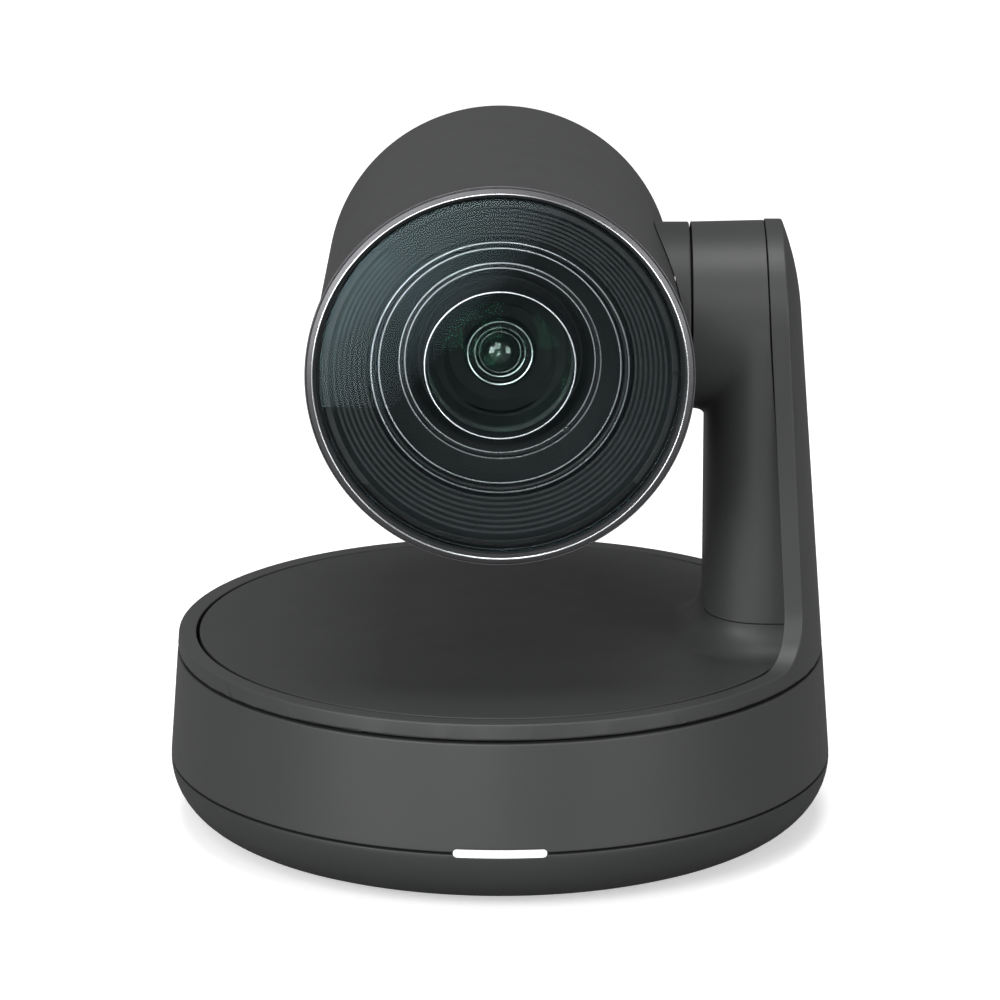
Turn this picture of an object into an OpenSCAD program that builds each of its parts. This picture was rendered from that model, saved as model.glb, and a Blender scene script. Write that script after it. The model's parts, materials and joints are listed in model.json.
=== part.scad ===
// Pan-tilt-zoom conference camera: a round base, a turntable with one arm,
// and a barrel-shaped camera head that tilts on the arm.
// Millimetres, +Z up, the lens faces -Y. The origin is on the pan axis, on the table.

/* [Base] */
// Widest diameter of the base, at the seam above the bottom pan
base_d = 152; // [130:1:185]
// Height of the seam between the bottom pan and the base housing
seam_z = 15; // [14:0.5:17]
// Height of the top edge of the fixed base housing
housing_top_z = 39.8; // [38:0.2:48]
// Height of the flat underside above the table
floor_z = 1.5; // [1:0.1:2]
// Inward lean of the outer walls, in mm for each mm of height
draft = 0.0745; // [0.02:0.005:0.1]
// Wall thickness of the base covers
wall = 2.4; // [1.8:0.1:2.6]
// Width of the status light
led_w = 20.6; // [12:0.2:30]
// Height of the status light
led_h = 1.7; // [1.2:0.1:2.4]

/* [Port bay] */
// Width of the recess for the ports at the back
bay_w = 60; // [60:1:72]
// Height of the recess
bay_h = 12; // [12:0.5:13]
// Distance from the pan axis to the port panel's outer face
panel_y = 66; // [62:0.5:66]

/* [Feet and tripod] */
// Outer radius of the rubber foot ring
foot_r = 57; // [56:0.5:60]
// Width of the rubber foot ring
foot_w = 7; // [7:0.5:8]
// Bore radius of the 1/4-20 tripod insert
tripod_r = 3.175; // [3.175:0.001:3.176]

/* [Pan drive] */
// Gear module of the pan drive
gear_m = 0.8; // [0.7:0.05:0.95]
// Teeth on the pan gear
pan_teeth = 96; // [84:12:96]
// Teeth on the pan motor's pinion
pinion_teeth = 12; // [12:12:12]
// Outer radius of the turntable's hollow spindle
spindle_r = 19; // [16:0.5:20]
// Radius of the pan motor's can
pan_motor_r = 12.5; // [10:0.5:13]

/* [Turntable and arm] */
// Height of the turntable's rim band
rim_h = 3.7; // [3:0.1:5]
// Thickness of the arm's outer skin, which is also the rim's width
skin = 4; // [3.5:0.1:4.5]
// Height of the tilt axis
tilt_z = 118; // [110:1:130]
// Outer radius of the arm's round top
arch_r = 22.5; // [22:0.5:27]
// Half of the arm's depth at its foot
arm_foot_y = 25.8; // [24:0.2:31]
// Radius of the fillet between the rim and the arm's edges
arm_fillet = 12.5; // [8:0.5:15]
// Radius of the vertical curve that the arm's top leans in with
arm_lean_r = 68; // [60:1:82]
// Half of the depth of the arm's inner column
column_y = 22; // [20:0.5:22]
// Corner radius of the arm's inner column
column_corner = 13; // [10:0.5:15]
// Height of the seam between the deck and the column
column_seam_z = 51.2; // [50:0.2:56]
// Wall of the arm's inner cover
cover_wall = 2; // [1.6:0.1:2.4]

/* [Tilt drive] */
// Radius of the hollow tilt shaft
shaft_r = 6; // [5:0.25:6.5]
// Radius of the tilt pulley on the shaft
pulley_r = 10.5; // [10.5:0.5:12]
// Radius of the tilt motor's pulley
motor_pulley_r = 3.5; // [3.5:0.5:4]
// Height of the tilt motor's shaft
tilt_motor_z = 75; // [70:1:82]
// Radius of the tilt motor's can
tilt_motor_r = 10; // [9:0.5:12]

/* [Head] */
// Radius of the head behind the bezel
head_r = 41.5; // [40:0.5:43]
// Radius of the head where its rounded back starts
head_back_r = 40; // [33:0.5:41]
// Distance from the tilt axis to the front of the head housing
head_front = 54; // [50:1:64]
// Distance from the tilt axis to where the rounded back starts
head_back = 38; // [36:1:46]
// Length of the rounded back
dome_len = 24; // [20:1:29]
// Wall of the head covers
head_wall = 2; // [1.6:0.1:2.4]
// Outer radius of the collar between the head and the arm
collar_r = 21.1; // [18:0.1:21.4]

/* [Lens] */
// Outer radius of the lens barrel
barrel_r = 24; // [22:0.5:25]
// Radius of the front lens
front_lens_r = 16.2; // [14:0.2:16.4]
// Inner radius of the front ring's funnel at its floor
funnel_r = 22; // [20:0.5:23]
// Radius of the second lens
second_lens_r = 12; // [10:0.5:13]
// Inner radius of the ribbed hood's front edge
hood_front_r = 37; // [31:0.5:37]
// Inner radius of the ribbed hood's back edge
hood_back_r = 29.4; // [29.4:0.1:30.4]
// Number of ribs in the hood
hood_ribs = 7; // [4:1:9]
// Radius of the rods that the zoom and focus groups slide on
rod_r = 1; // [0.8:0.1:1.2]

/* [Fits] */
// Open seam between neighbouring covers
seam = 0.5; // [0.3:0.1:0.8]
// Clearance between fixed pieces that fit into each other
fit = 0.15; // [0.1:0.05:0.3]
// Radial clearance of turning and sliding fits
running = 0.05; // [0.03:0.01:0.08]
// Gap between a moving body and its neighbour's cover
move_gap = 0.7; // [0.5:0.1:1]

/* [Hidden] */
$fn = 96;

// Base levels and radii
base_r = base_d / 2;
edge_r = seam_z - floor_z;
foot_sink = 1.1;
lip_h = 2.5;
lip_t = 1.5;
board_t = 1.6;
leg_ring_r = foot_r - foot_w / 2;
leg_r = 4.5;
leg_boss_z = 9;
screw_hole_r = 1.7;
pilot_r = 1.25;
screw_head_r = 3;
screw_head_h = 2.4;
head_pocket_z = floor_z + foot_sink;
main_board_z = 7;
main_board_r = base_r - 16;
insert_r = 5.5;
insert_top = floor_z + 10;
insert_boss_r = 9;

// Port bay
bay_z = seam_z + lip_h;
bay_wall = 2;
panel_t = 2;
io_z = bay_z + 0.1;
io_top = io_z + board_t;
io_front_y = panel_y - panel_t - bay_wall - 0.2;
io_depth = 18;
socket_face = 0.3;
socket_depth = 12;
socket_z = io_top + 4.5;
dc_x = -23;
usb_x = -10.5;
hdmi_x = 4.5;
din_x = 18;
button_x = 25.6;
button_r = 1.6;
button_flange_t = 0.8;
button_travel = 0.8;
switch_w = 4.6;
switch_depth = 3.5;

// Pan stack, from the chassis up
chassis_z = 24.4;
chassis_t = 2.5;
chassis_top = chassis_z + chassis_t;
ledge_r = base_r - 9.5;
race_w = 2.6;
race_gap = 1.8;
race_h = 6;
ball_r = 1.75;
race_in_r = spindle_r + race_w;
race_out_r = race_in_r + race_gap;
ball_ring_r = race_in_r + race_gap / 2;
bearing_top = chassis_top + race_h;
seat_r = race_out_r + race_w;
seat_t = 3.2;
gear_h = 4;
gear_z = chassis_top + 2.7;
gear_top = gear_z + gear_h;
plate_z = gear_top + 1.7;
plate_t = 2.5;
plate_top = plate_z + plate_t;
pan_pitch_r = gear_m * pan_teeth / 2;
pinion_pitch_r = gear_m * pinion_teeth / 2;
gear_centre = pan_pitch_r + pinion_pitch_r;
gear_in_r = pan_pitch_r - 6.5;
motor_shaft_r = 1.5;
pan_motor_h = 13;

// Rim, deck and arm
rim_z = housing_top_z + move_gap;
rim_top = rim_z + rim_h;
rim_bevel = 0.7;
deck_r = outer_r(rim_top) - skin - 0.5;
deck_t = 2;
flange_in_r = deck_r - 7;
flange_t = 1.6;
flange_z = plate_top + 0.1;
skirt_r = outer_r(housing_top_z) - wall - 0.9;
skin_top = tilt_z + arch_r + 2;
lean_z = tilt_z + 2;
lean_tilt = atan(draft);
lean_cx = outer_r(lean_z) - arm_lean_r * cos(lean_tilt);
lean_cz = lean_z - arm_lean_r * sin(lean_tilt);

// The tilt stack is measured outwards from the hub's inner face
collar_x = head_r + 1.2;
hub_x = collar_x + move_gap;
nose_x = hub_x + 3.2;
hub_r = arch_r - 0.5;
hub_nose_r = hub_r - 0.6;
hub_hole_r = shaft_r + 4;
boss_x = hub_x + cover_wall + 1.6;
boss_r = 13;
plate_x = boss_x + 9;
frame_t = 2.5;
pulley_x = plate_x + frame_t + 0.5;
pulley_w = 3;
shaft_in_x = head_r - 13.5;
shaft_out_x = pulley_x + pulley_w;
tilt_race_t = 1.4;
tilt_bearing_r = shaft_r + 5;
tilt_ball_r = 1.1;
tilt_bearing_w = 3.5;
tilt_bearing_xs = [boss_x + 0.5, plate_x - tilt_bearing_w];
belt_t = 1;
belt_w = 2.4;
frame_y = 15;
cable_w = 4;
cable_t = 0.5;

// Head, measured forwards from the tilt axis along the lens
head_split = head_back + 7;
bezel_z = head_front + 0.2;
bezel_front = bezel_z + 3.7;
bezel_r = head_r + 1;
bezel_edge_r = bezel_r - 1.66;
glass_r = head_r - 1.9;
glass_z = head_front + 0.9;
glass_t = 1.2;
hood_front_z = head_front - 0.3;
hood_back_z = head_front - 5.7;
hood_out_r = head_r - head_wall - 0.2;
ring_back_z = hood_back_z - 7.8;
ring_edge_r = hood_back_r - 3.04;
ring_r = hood_back_r - 0.2;
lens_seat_z = ring_back_z - 2.1;
lens_lip_t = 0.9;
lens_edge_t = 3;
lens_dome = 4.6;
lens_hollow_r = 17;
lens_ring_t = 1.6;
lens_ring_h = 8.4;
barrel_stop_r = front_lens_r - 1.2;
cell_wall_z = 36;
second_lens_z = 30;
barrel_back = -18;
barrel_bore = barrel_r - 4.5;
rod_ring_r = barrel_bore - 4;
aperture_z = 24;
aperture_r = 6.7;
zoom_z = 6;
zoom_len = 8;
zoom_lens_r = 10;
focus_z = -8;
focus_len = 5;
group_r = barrel_bore - 0.8;
chassis_x = head_r - 14.5;
chassis_plate_t = 3;
sensor_size = 40;
screw_x = sensor_size / 2 - 1.5;

function outer_r(z) = base_r - draft * (z - seam_z);
function lean_r(z) = lean_cx + sqrt(pow(arm_lean_r, 2) - pow(z - lean_cz, 2));
function dome_radius(y) = head_back_r * pow(sin(acos(pow((y - head_back) / dome_len, 1 / 0.95))), 0.85);
function involute(a) = tan(a) * 180 / PI - a;
function roll(rb, r) = r > rb ? involute(acos(rb / r)) : 0;

// ---- shared shapes ----

// Turns a shape drawn about +Z so that +Z becomes the lens direction, at the tilt axis
module on_lens() {
    translate([0, 0, tilt_z]) rotate([90, 0, 0]) children();
}

// Turns a shape drawn about +Z so that +Z becomes +X, at the tilt axis
module on_tilt(x = 0, z = tilt_z) {
    translate([x, 0, z]) rotate([0, 90, 0]) children();
}

module tube(r_out, r_in, h) {
    difference() {
        cylinder(r = r_out, h = h);
        translate([0, 0, -1]) cylinder(r = r_in, h = h + 2);
    }
}

module ring_of(count, radius, start = 0) {
    for (i = [0 : count - 1]) rotate([0, 0, start + i * 360 / count]) translate([radius, 0, 0]) children();
}

// A rounded slot, centred, lying along X
module slot_2d(w, h) {
    square([w - h, h], center = true);
    for (s = [-1, 1]) translate([s * (w - h) / 2, 0]) circle(r = h / 2);
}

// A square with round corners, all made of true arcs
module rounded_2d(w, h, r) {
    square([w - 2 * r, h], center = true);
    square([w, h - 2 * r], center = true);
    for (x = [-1, 1], y = [-1, 1]) translate([x * (w / 2 - r), y * (h / 2 - r)]) circle(r = r);
}

// One spur gear: straight bore, involute flanks, thinned by the backlash
module spur_gear(teeth, h, bore) {
    pitch = gear_m * teeth / 2;
    rb = pitch * cos(20);
    root = pitch - 1.0 * gear_m;
    tip = pitch + 0.72 * gear_m;
    slack = 0.1 * 180 / (PI * pitch);
    half = 90 / teeth - slack + involute(20);
    radii = [root, max(rb, root), pitch, tip];
    flank = [for (r = radii) [r, half - roll(rb, r)]];
    points = [
        for (i = [0 : teeth - 1])
            for (k = [0 : 7])
                let (f = k < 4 ? flank[k] : flank[7 - k], side = k < 4 ? -1 : 1, a = i * 360 / teeth + side * f[1])
                    f[0] * [cos(a), sin(a)]
    ];
    difference() {
        linear_extrude(h) polygon(points);
        translate([0, 0, -1]) cylinder(r = bore, h = h + 2);
    }
}

// A race of a ball bearing, from r_in to r_out, with its ball groove
module race(r_in, r_out, h, ring_r, groove_r) {
    rotate_extrude() difference() {
        translate([r_in, 0]) square([r_out - r_in, h]);
        translate([ring_r, h / 2]) circle(r = groove_r);
    }
}

// Half outline of the base's lower body, shrunk by the inset
module pan_outline(inset) {
    translate([base_r - edge_r, seam_z]) intersection() {
        circle(r = edge_r - inset);
        translate([0, -edge_r]) square([edge_r, edge_r]);
    }
    translate([0, floor_z + inset]) square([base_r - edge_r, seam_z - floor_z - inset]);
}

module led_cut(clear, y_in) {
    translate([0, -y_in, seam_z]) rotate([90, 0, 0])
        linear_extrude(base_r - y_in + 1) slot_2d(led_w + 2 * clear, led_h + 2 * clear);
}

// The places of the four legs under the foot ring
module at_legs() {
    ring_of(4, leg_ring_r, 45) children();
}

// ---- base ----

module bottom_pan() {
    lip_r = outer_r(seam_z + lip_h) - wall - fit;
    color("dimgray") difference() {
        union() {
            rotate_extrude() difference() {
                pan_outline(0);
                pan_outline(wall);
                translate([0, seam_z - seam / 2]) square([base_r + 1, seam]);
            }
            difference() {
                translate([0, 0, seam_z - 4]) tube(lip_r, lip_r - lip_t, 4 + lip_h);
                translate([-bay_w / 2 - 3, 0, seam_z - 5]) cube([bay_w + 6, base_r, 10]);
            }
            translate([0, 0, floor_z]) cylinder(r = insert_boss_r, h = insert_top - floor_z + 1.5);
            at_legs() translate([0, 0, floor_z]) cylinder(r = leg_r, h = leg_boss_z - floor_z);
            ring_of(4, main_board_r - 8) translate([0, 0, floor_z]) cylinder(r = 2.5, h = main_board_z - floor_z);
            for (s = [-1, 1]) translate([s * 20, io_front_y - 8, floor_z]) cylinder(r = 3, h = io_z - floor_z);
        }
        translate([0, 0, floor_z - 1]) tube(foot_r, foot_r - foot_w, 1 + foot_sink);
        translate([0, 0, floor_z - 1]) cylinder(r = insert_r, h = insert_top - floor_z + 1);
        at_legs() translate([0, 0, floor_z - 1]) cylinder(r = screw_hole_r, h = leg_boss_z + 2);
        at_legs() translate([0, 0, floor_z - 1]) cylinder(r = screw_head_r + fit, h = 1 + foot_sink + screw_head_h + fit);
        led_cut(fit, base_r - 6);
    }
}

module foot_ring() {
    color("black") rotate_extrude() polygon([
        [foot_r - foot_w, foot_sink + floor_z],
        [foot_r - foot_w, 0.8],
        [foot_r - foot_w + 0.8, 0],
        [foot_r - 0.8, 0],
        [foot_r, 0.8],
        [foot_r, foot_sink + floor_z]
    ]);
}

module base_housing() {
    z0 = seam_z + seam / 2;
    color("dimgray") difference() {
        union() {
            rotate_extrude() polygon([
                [outer_r(z0) - wall, z0],
                [outer_r(z0), z0],
                [outer_r(housing_top_z - 0.4), housing_top_z - 0.4],
                [outer_r(housing_top_z) - 0.4, housing_top_z],
                [outer_r(housing_top_z) - wall, housing_top_z]
            ]);
            translate([0, 0, chassis_z - 2.6]) rotate_extrude() polygon([
                [ledge_r, 0],
                [outer_r(chassis_z) - wall + 0.5, 0],
                [outer_r(chassis_z) - wall + 0.5, 2.5],
                [ledge_r, 2.5]
            ]);
            intersection() {
                translate([-bay_w / 2 - bay_wall, panel_y - panel_t - bay_wall, bay_z - bay_wall])
                    cube([bay_w + 2 * bay_wall, base_r, bay_h + 2 * bay_wall]);
                rotate_extrude() polygon([
                    [0, z0],
                    [outer_r(z0), z0],
                    [outer_r(housing_top_z), housing_top_z],
                    [0, housing_top_z]
                ]);
            }
        }
        translate([-bay_w / 2, panel_y - panel_t, bay_z]) cube([bay_w, base_r, bay_h]);
        translate([-bay_w / 2 + 1.5, panel_y - panel_t - 5, bay_z - 0.1]) cube([bay_w - 3, 6, bay_h]);
        led_cut(fit, base_r - 6);
        // Security slot beside the bay
        rotate([0, 0, 35]) translate([base_r - 5, -3.5, 22]) cube([8, 7, 3]);
    }
}

module led_light_bar() {
    color("white") intersection() {
        led_cut(0, base_r - 5);
        rotate_extrude() translate([base_r - 4.5, seam_z - 3]) square([4.5, 6]);
    }
}

module led_board() {
    color("darkgreen") translate([-led_w / 2 - 2, -base_r + 5.3, seam_z - 4]) cube([led_w + 4, board_t, 7]);
}

// Cuts one socket's outline through the port panel
module socket_outlines(clear) {
    translate([dc_x, socket_z]) square([9 + 2 * clear, 9 + 2 * clear], center = true);
    translate([usb_x, io_top + 1.6]) slot_2d(9 + 2 * clear, 3.2 + 2 * clear);
    translate([hdmi_x, io_top + 2.8]) square([15 + 2 * clear, 5.6 + 2 * clear], center = true);
    translate([din_x, io_top + 4.75]) circle(r = 4.75 + clear);
}

// Extrudes a flat outline, drawn in X and Z, back from a Y face
module from_face(y, depth) {
    translate([0, y, 0]) rotate([90, 0, 0]) linear_extrude(depth) children();
}

module port_panel() {
    color("black") difference() {
        translate([-bay_w / 2 + fit, panel_y - panel_t, bay_z + fit])
            cube([bay_w - 2 * fit, panel_t, bay_h - 2 * fit]);
        from_face(panel_y + 1, panel_t + 2) socket_outlines(fit);
        from_face(panel_y + 1, panel_t + 2) translate([button_x, socket_z]) circle(r = button_r + fit);
    }
}

module dc_jack() {
    color("dimgray") difference() {
        from_face(panel_y - socket_face, socket_depth) translate([dc_x, socket_z]) square([9, 9], center = true);
        from_face(panel_y, 10) translate([dc_x, socket_z]) circle(r = 2.75);
    }
    color("silver") from_face(panel_y - 1.5, 9) translate([dc_x, socket_z]) circle(r = 1);
}

module usb_c_socket() {
    color("silver") difference() {
        from_face(panel_y - socket_face, 8) translate([usb_x, io_top + 1.6]) slot_2d(9, 3.2);
        from_face(panel_y, 7) translate([usb_x, io_top + 1.6]) slot_2d(8.4, 2.6);
    }
    color("black") from_face(panel_y - 1, 7) translate([usb_x, io_top + 1.6]) square([6.6, 0.7], center = true);
}

module hdmi_socket() {
    outline = [[-7.5, -0.6], [-7.5, 2.8], [7.5, 2.8], [7.5, -0.6], [5.6, -2.8], [-5.6, -2.8]];
    inner = [[-7, -0.4], [-7, 2.3], [7, 2.3], [7, -0.4], [5.3, -2.3], [-5.3, -2.3]];
    color("silver") difference() {
        from_face(panel_y - socket_face, 11) translate([hdmi_x, io_top + 2.8]) polygon(outline);
        from_face(panel_y, 10) translate([hdmi_x, io_top + 2.8]) polygon(inner);
    }
    color("black") from_face(panel_y - 1, 10) translate([hdmi_x, io_top + 3.2]) square([11, 1.2], center = true);
}

module din_socket() {
    color("black") difference() {
        from_face(panel_y - socket_face, 11) translate([din_x, io_top + 4.75]) circle(r = 4.75);
        from_face(panel_y, 8) translate([din_x, io_top + 4.75]) difference() {
            circle(r = 3.9);
            translate([0, -0.9]) square([2.6, 1.4], center = true);
        }
    }
}

module io_board() {
    color("darkgreen") translate([-bay_w / 2 + 1, io_front_y - io_depth, io_z]) cube([bay_w - 2, io_depth, board_t]);
}

module main_board() {
    color("darkgreen") translate([0, 0, main_board_z]) difference() {
        intersection() {
            cylinder(r = main_board_r, h = board_t);
            translate([-base_r, -base_r, -1]) cube([base_d, base_r + io_front_y - io_depth - 4, 5]);
        }
        translate([0, 0, -1]) cylinder(r = insert_boss_r + 0.5, h = 5);
        at_legs() translate([0, 0, -1]) cylinder(r = leg_r + 0.5, h = 5);
    }
}

module processor_shield() {
    color("silver") translate([15, -14, main_board_z + board_t]) cube([28, 28, 2.4]);
}

module heat_spreader() {
    color("gray") translate([17, -12, main_board_z + board_t + 2.4]) {
        cube([24, 24, 1.5]);
        for (i = [0 : 6]) translate([0, i * 3.8, 0]) cube([24, 1.2, 8]);
    }
}

module pair_button() {
    stem = panel_t + 0.6;
    color("gray") from_face(panel_y + 0.5, stem) translate([button_x, socket_z]) circle(r = button_r);
    color("gray") from_face(panel_y + 0.5 - stem, button_flange_t) translate([button_x, socket_z])
        circle(r = button_r + 0.8);
}

module pair_switch() {
    back = panel_y - panel_t - 0.1 - button_flange_t - button_travel - 0.2;
    color("black") translate([button_x - switch_w / 2, back - switch_depth, io_top])
        cube([switch_w, switch_depth, socket_z - io_top + 2.5]);
}

module base_chassis() {
    color("silver") difference() {
        union() {
            translate([0, 0, chassis_z]) cylinder(r = ledge_r + 4, h = chassis_t);
            translate([0, 0, chassis_z]) cylinder(r = seat_r + seat_t, h = bearing_top - chassis_z);
            at_legs() translate([0, 0, leg_boss_z + 0.1]) cylinder(r = leg_r, h = chassis_z - leg_boss_z);
        }
        translate([0, 0, chassis_z - 1]) cylinder(r = race_out_r - 1, h = 20);
        translate([0, 0, chassis_top]) cylinder(r = seat_r, h = 20);
        at_legs() translate([0, 0, leg_boss_z - 1]) cylinder(r = pilot_r, h = 12);
        translate([-bay_w / 2 - bay_wall - 1, panel_y - socket_depth - 2, chassis_z - 1])
            cube([bay_w + 2 * bay_wall + 2, base_r, chassis_t + 2]);
        translate([-gear_centre, 0, chassis_z - 1]) cylinder(r = 3.4, h = 10);
    }
}

module pan_bearing_outer() {
    color("silver") translate([0, 0, chassis_top]) race(race_out_r, seat_r, race_h, ball_ring_r, ball_r + running);
}

module pan_bearing_balls() {
    color("gainsboro") translate([0, 0, chassis_top + race_h / 2]) ring_of(24, ball_ring_r) sphere(r = ball_r);
}

module pan_motor() {
    color("silver") translate([-gear_centre, 0, chassis_z - pan_motor_h]) difference() {
        union() {
            cylinder(r = pan_motor_r, h = pan_motor_h);
            cylinder(r = 3.2, h = pan_motor_h + 1.6);
        }
        translate([0, 0, pan_motor_h - 5]) cylinder(r = motor_shaft_r + running, h = 10);
    }
}

module tripod_insert() {
    color("gold") translate([0, 0, floor_z]) difference() {
        cylinder(r = insert_r, h = insert_top - floor_z);
        translate([0, 0, -1]) cylinder(r = tripod_r, h = insert_top - floor_z - 0.5);
    }
}

module base_screws() {
    color("gray") at_legs() translate([0, 0, head_pocket_z + 0.05]) difference() {
        union() {
            cylinder(r = screw_head_r, h = screw_head_h);
            cylinder(r = pilot_r, h = 15);
        }
        translate([0, 0, -1]) cylinder(r = 1.4, h = 2.4, $fn = 6);
    }
}

module pan_pinion() {
    color("gold") translate([-gear_centre, 0, 0]) {
        translate([0, 0, gear_z - 0.3]) rotate([0, 0, 180 / pinion_teeth])
            spur_gear(pinion_teeth, gear_h + 0.3, motor_shaft_r - 0.01);
        translate([0, 0, chassis_z - 4.5]) cylinder(r = motor_shaft_r, h = gear_top - chassis_z + 4.5);
    }
}

// ---- turntable and arm ----

module turntable_plate() {
    color("silver") difference() {
        union() {
            translate([0, 0, plate_z]) cylinder(r = deck_r - 0.6, h = plate_t);
            translate([0, 0, chassis_top + 0.1]) cylinder(r = spindle_r, h = plate_z - chassis_top);
            translate([0, 0, bearing_top]) cylinder(r = spindle_r + race_w - 0.4, h = plate_z - bearing_top + 1);
            translate([0, 0, gear_top]) tube(gear_in_r + 3.5, gear_in_r, plate_z - gear_top + 1);
        }
        cylinder(r = spindle_r - 4, h = 60);
    }
}

module pan_bearing_inner() {
    color("silver") translate([0, 0, chassis_top]) race(spindle_r, race_in_r, race_h, ball_ring_r, ball_r + running);
}

module pan_gear() {
    color("ivory") translate([0, 0, gear_z]) spur_gear(pan_teeth, gear_h, gear_in_r);
}

// The arm's outline seen along X, in [Y, Z]: filleted feet, tapering sides and a round top
function arm_side() =
    let (
        foot_z = rim_top + arm_fillet,
        dz = tilt_z - foot_z,
        reach = sqrt(arm_foot_y * arm_foot_y + dz * dz),
        touch = acos(arch_r / reach) - atan2(dz, arm_foot_y)
    ) concat(
        [[arm_foot_y + arm_fillet, rim_z + 0.5]],
        [for (i = [0 : 10])
            [arm_foot_y + arm_fillet * (1 - sin(i * 9)), foot_z - arm_fillet * cos(i * 9)]],
        [for (i = [0 : 16])
            let (a = touch + i * (90 - touch) / 16) [arch_r * cos(a), tilt_z + arch_r * sin(a)]]
    );

module arm_outline() {
    side = arm_side();
    last = len(side) - 1;
    polygon(concat(side, [for (i = [last - 1 : -1 : 0]) [-side[i][0], side[i][1]]]));
}

// The skin's profile from the rim up, in [radius, height], shrunk by the inset
function skin_curve(inset) = concat(
    [[outer_r(rim_top) - inset, rim_top]],
    [for (i = [0 : 12]) let (z = lean_z + i * (skin_top - lean_z) / 12) [lean_r(z) - inset, z]]
);

// Everything inside the skin, shrunk by the inset
module skin_solid(inset) {
    rotate_extrude() polygon(concat([[0, rim_top]], skin_curve(inset), [[0, skin_top]]));
}

// The rim and the arm's skin are one shell: a turned profile, trimmed to the arm's outline
module rim_shell() {
    inner = skin_curve(skin);
    cut = rim_top - rim_bevel;
    color("dimgray") intersection() {
        rotate_extrude() polygon(concat(
            [
                [flange_in_r, flange_z],
                [skirt_r, flange_z],
                [skirt_r, rim_z],
                [outer_r(rim_z), rim_z]
            ],
            skin_curve(0),
            [for (i = [len(inner) - 1 : -1 : 0]) inner[i]],
            [
                [deck_r + fit, rim_top],
                [deck_r + fit, flange_z + flange_t],
                [flange_in_r, flange_z + flange_t]
            ]
        ));
        union() {
            rotate_extrude() polygon([
                [0, flange_z - 1],
                [base_r + 3, flange_z - 1],
                [outer_r(cut) + 4, cut - 4],
                [outer_r(rim_top) - rim_bevel, rim_top],
                [0, rim_top]
            ]);
            rotate([90, 0, 90]) linear_extrude(base_r + 5) arm_outline();
        }
    }
}

// The column's plan: a rounded block from its nose out past the skin
module column_2d(inset) {
    w = base_r - nose_x;
    translate([nose_x + w / 2 + inset / 2, 0])
        rounded_2d(w - inset, 2 * (column_y - inset), column_corner - inset);
    translate([base_r - w / 4, 0]) square([w / 2, 2 * (column_y - inset)], center = true);
}

// The concave sweep from the deck up to the column
module column_sweep() {
    sweep = column_seam_z - rim_top;
    corner_x = nose_x + column_corner;
    corner_y = column_y - column_corner;
    module profile() {
        difference() {
            translate([-1, 0]) square([sweep + 1, sweep]);
            translate([sweep, sweep]) circle(r = sweep);
        }
    }
    translate([0, 0, rim_top]) {
        for (s = [-1, 1]) mirror([0, s < 0 ? 1 : 0, 0]) {
            translate([corner_x, column_y, 0]) rotate([90, 0, 90]) linear_extrude(base_r - corner_x) profile();
            translate([corner_x, corner_y, 0]) rotate([0, 0, 90])
                rotate_extrude(angle = 90) translate([column_corner, 0]) profile();
        }
        translate([nose_x, corner_y, 0]) rotate([90, 0, 0]) mirror([1, 0, 0])
            linear_extrude(2 * corner_y) profile();
    }
}

module deck_panel() {
    color("dimgray") difference() {
        union() {
            translate([0, 0, rim_top - deck_t]) cylinder(r = deck_r, h = deck_t);
            translate([0, 0, flange_z + flange_t]) tube(deck_r - 1, deck_r - 3, rim_top - deck_t - flange_z - flange_t + 0.5);
            intersection() {
                union() {
                    translate([0, 0, rim_top - 1]) linear_extrude(column_seam_z - rim_top + 1) column_2d(0);
                    column_sweep();
                }
                cylinder(r1 = outer_r(0) - skin - fit, r2 = outer_r(100) - skin - fit, h = 100);
                translate([0, 0, -1]) cylinder(r = deck_r, h = 100);
            }
        }
        translate([0, 0, rim_top - deck_t - 1]) linear_extrude(40) column_2d(cover_wall);
    }
}

module arm_inner_cover() {
    color("dimgray") difference() {
        intersection() {
            union() {
                translate([0, 0, column_seam_z + seam / 2]) linear_extrude(tilt_z - column_seam_z) column_2d(0);
                on_tilt(hub_x) cylinder(r1 = hub_nose_r, r2 = hub_r, h = base_r - hub_x);
            }
            skin_solid(skin + fit);
        }
        translate([0, 0, column_seam_z - 1]) linear_extrude(tilt_z - column_seam_z) column_2d(cover_wall);
        on_tilt(hub_x + cover_wall) cylinder(r = hub_nose_r - cover_wall, h = base_r);
        on_tilt(hub_x - 1) cylinder(r = hub_hole_r, h = cover_wall + 2);
    }
}

module arm_frame() {
    color("silver") difference() {
        union() {
            translate([plate_x, -frame_y, plate_top]) cube([frame_t, 2 * frame_y, tilt_z - plate_top]);
            on_tilt(plate_x) cylinder(r = frame_y, h = frame_t);
            on_tilt(boss_x) cylinder(r = boss_r, h = plate_x - boss_x + 1);
            translate([plate_x - 5, -frame_y, plate_top]) cube([8, 2 * frame_y, 3]);
        }
        on_tilt(boss_x - 1) cylinder(r = tilt_bearing_r, h = 20);
        on_tilt(plate_x - 1, tilt_motor_z) cylinder(r = motor_pulley_r + 1.2, h = 6);
    }
}

module tilt_bearing_outer() {
    color("silver") for (x = tilt_bearing_xs)
        on_tilt(x) race(tilt_bearing_r - tilt_race_t, tilt_bearing_r, tilt_bearing_w,
            shaft_r + 2.5, tilt_ball_r + running);
}

module tilt_bearing_balls() {
    color("gainsboro") for (x = tilt_bearing_xs)
        on_tilt(x + tilt_bearing_w / 2) ring_of(12, shaft_r + 2.5) sphere(r = tilt_ball_r);
}

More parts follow.
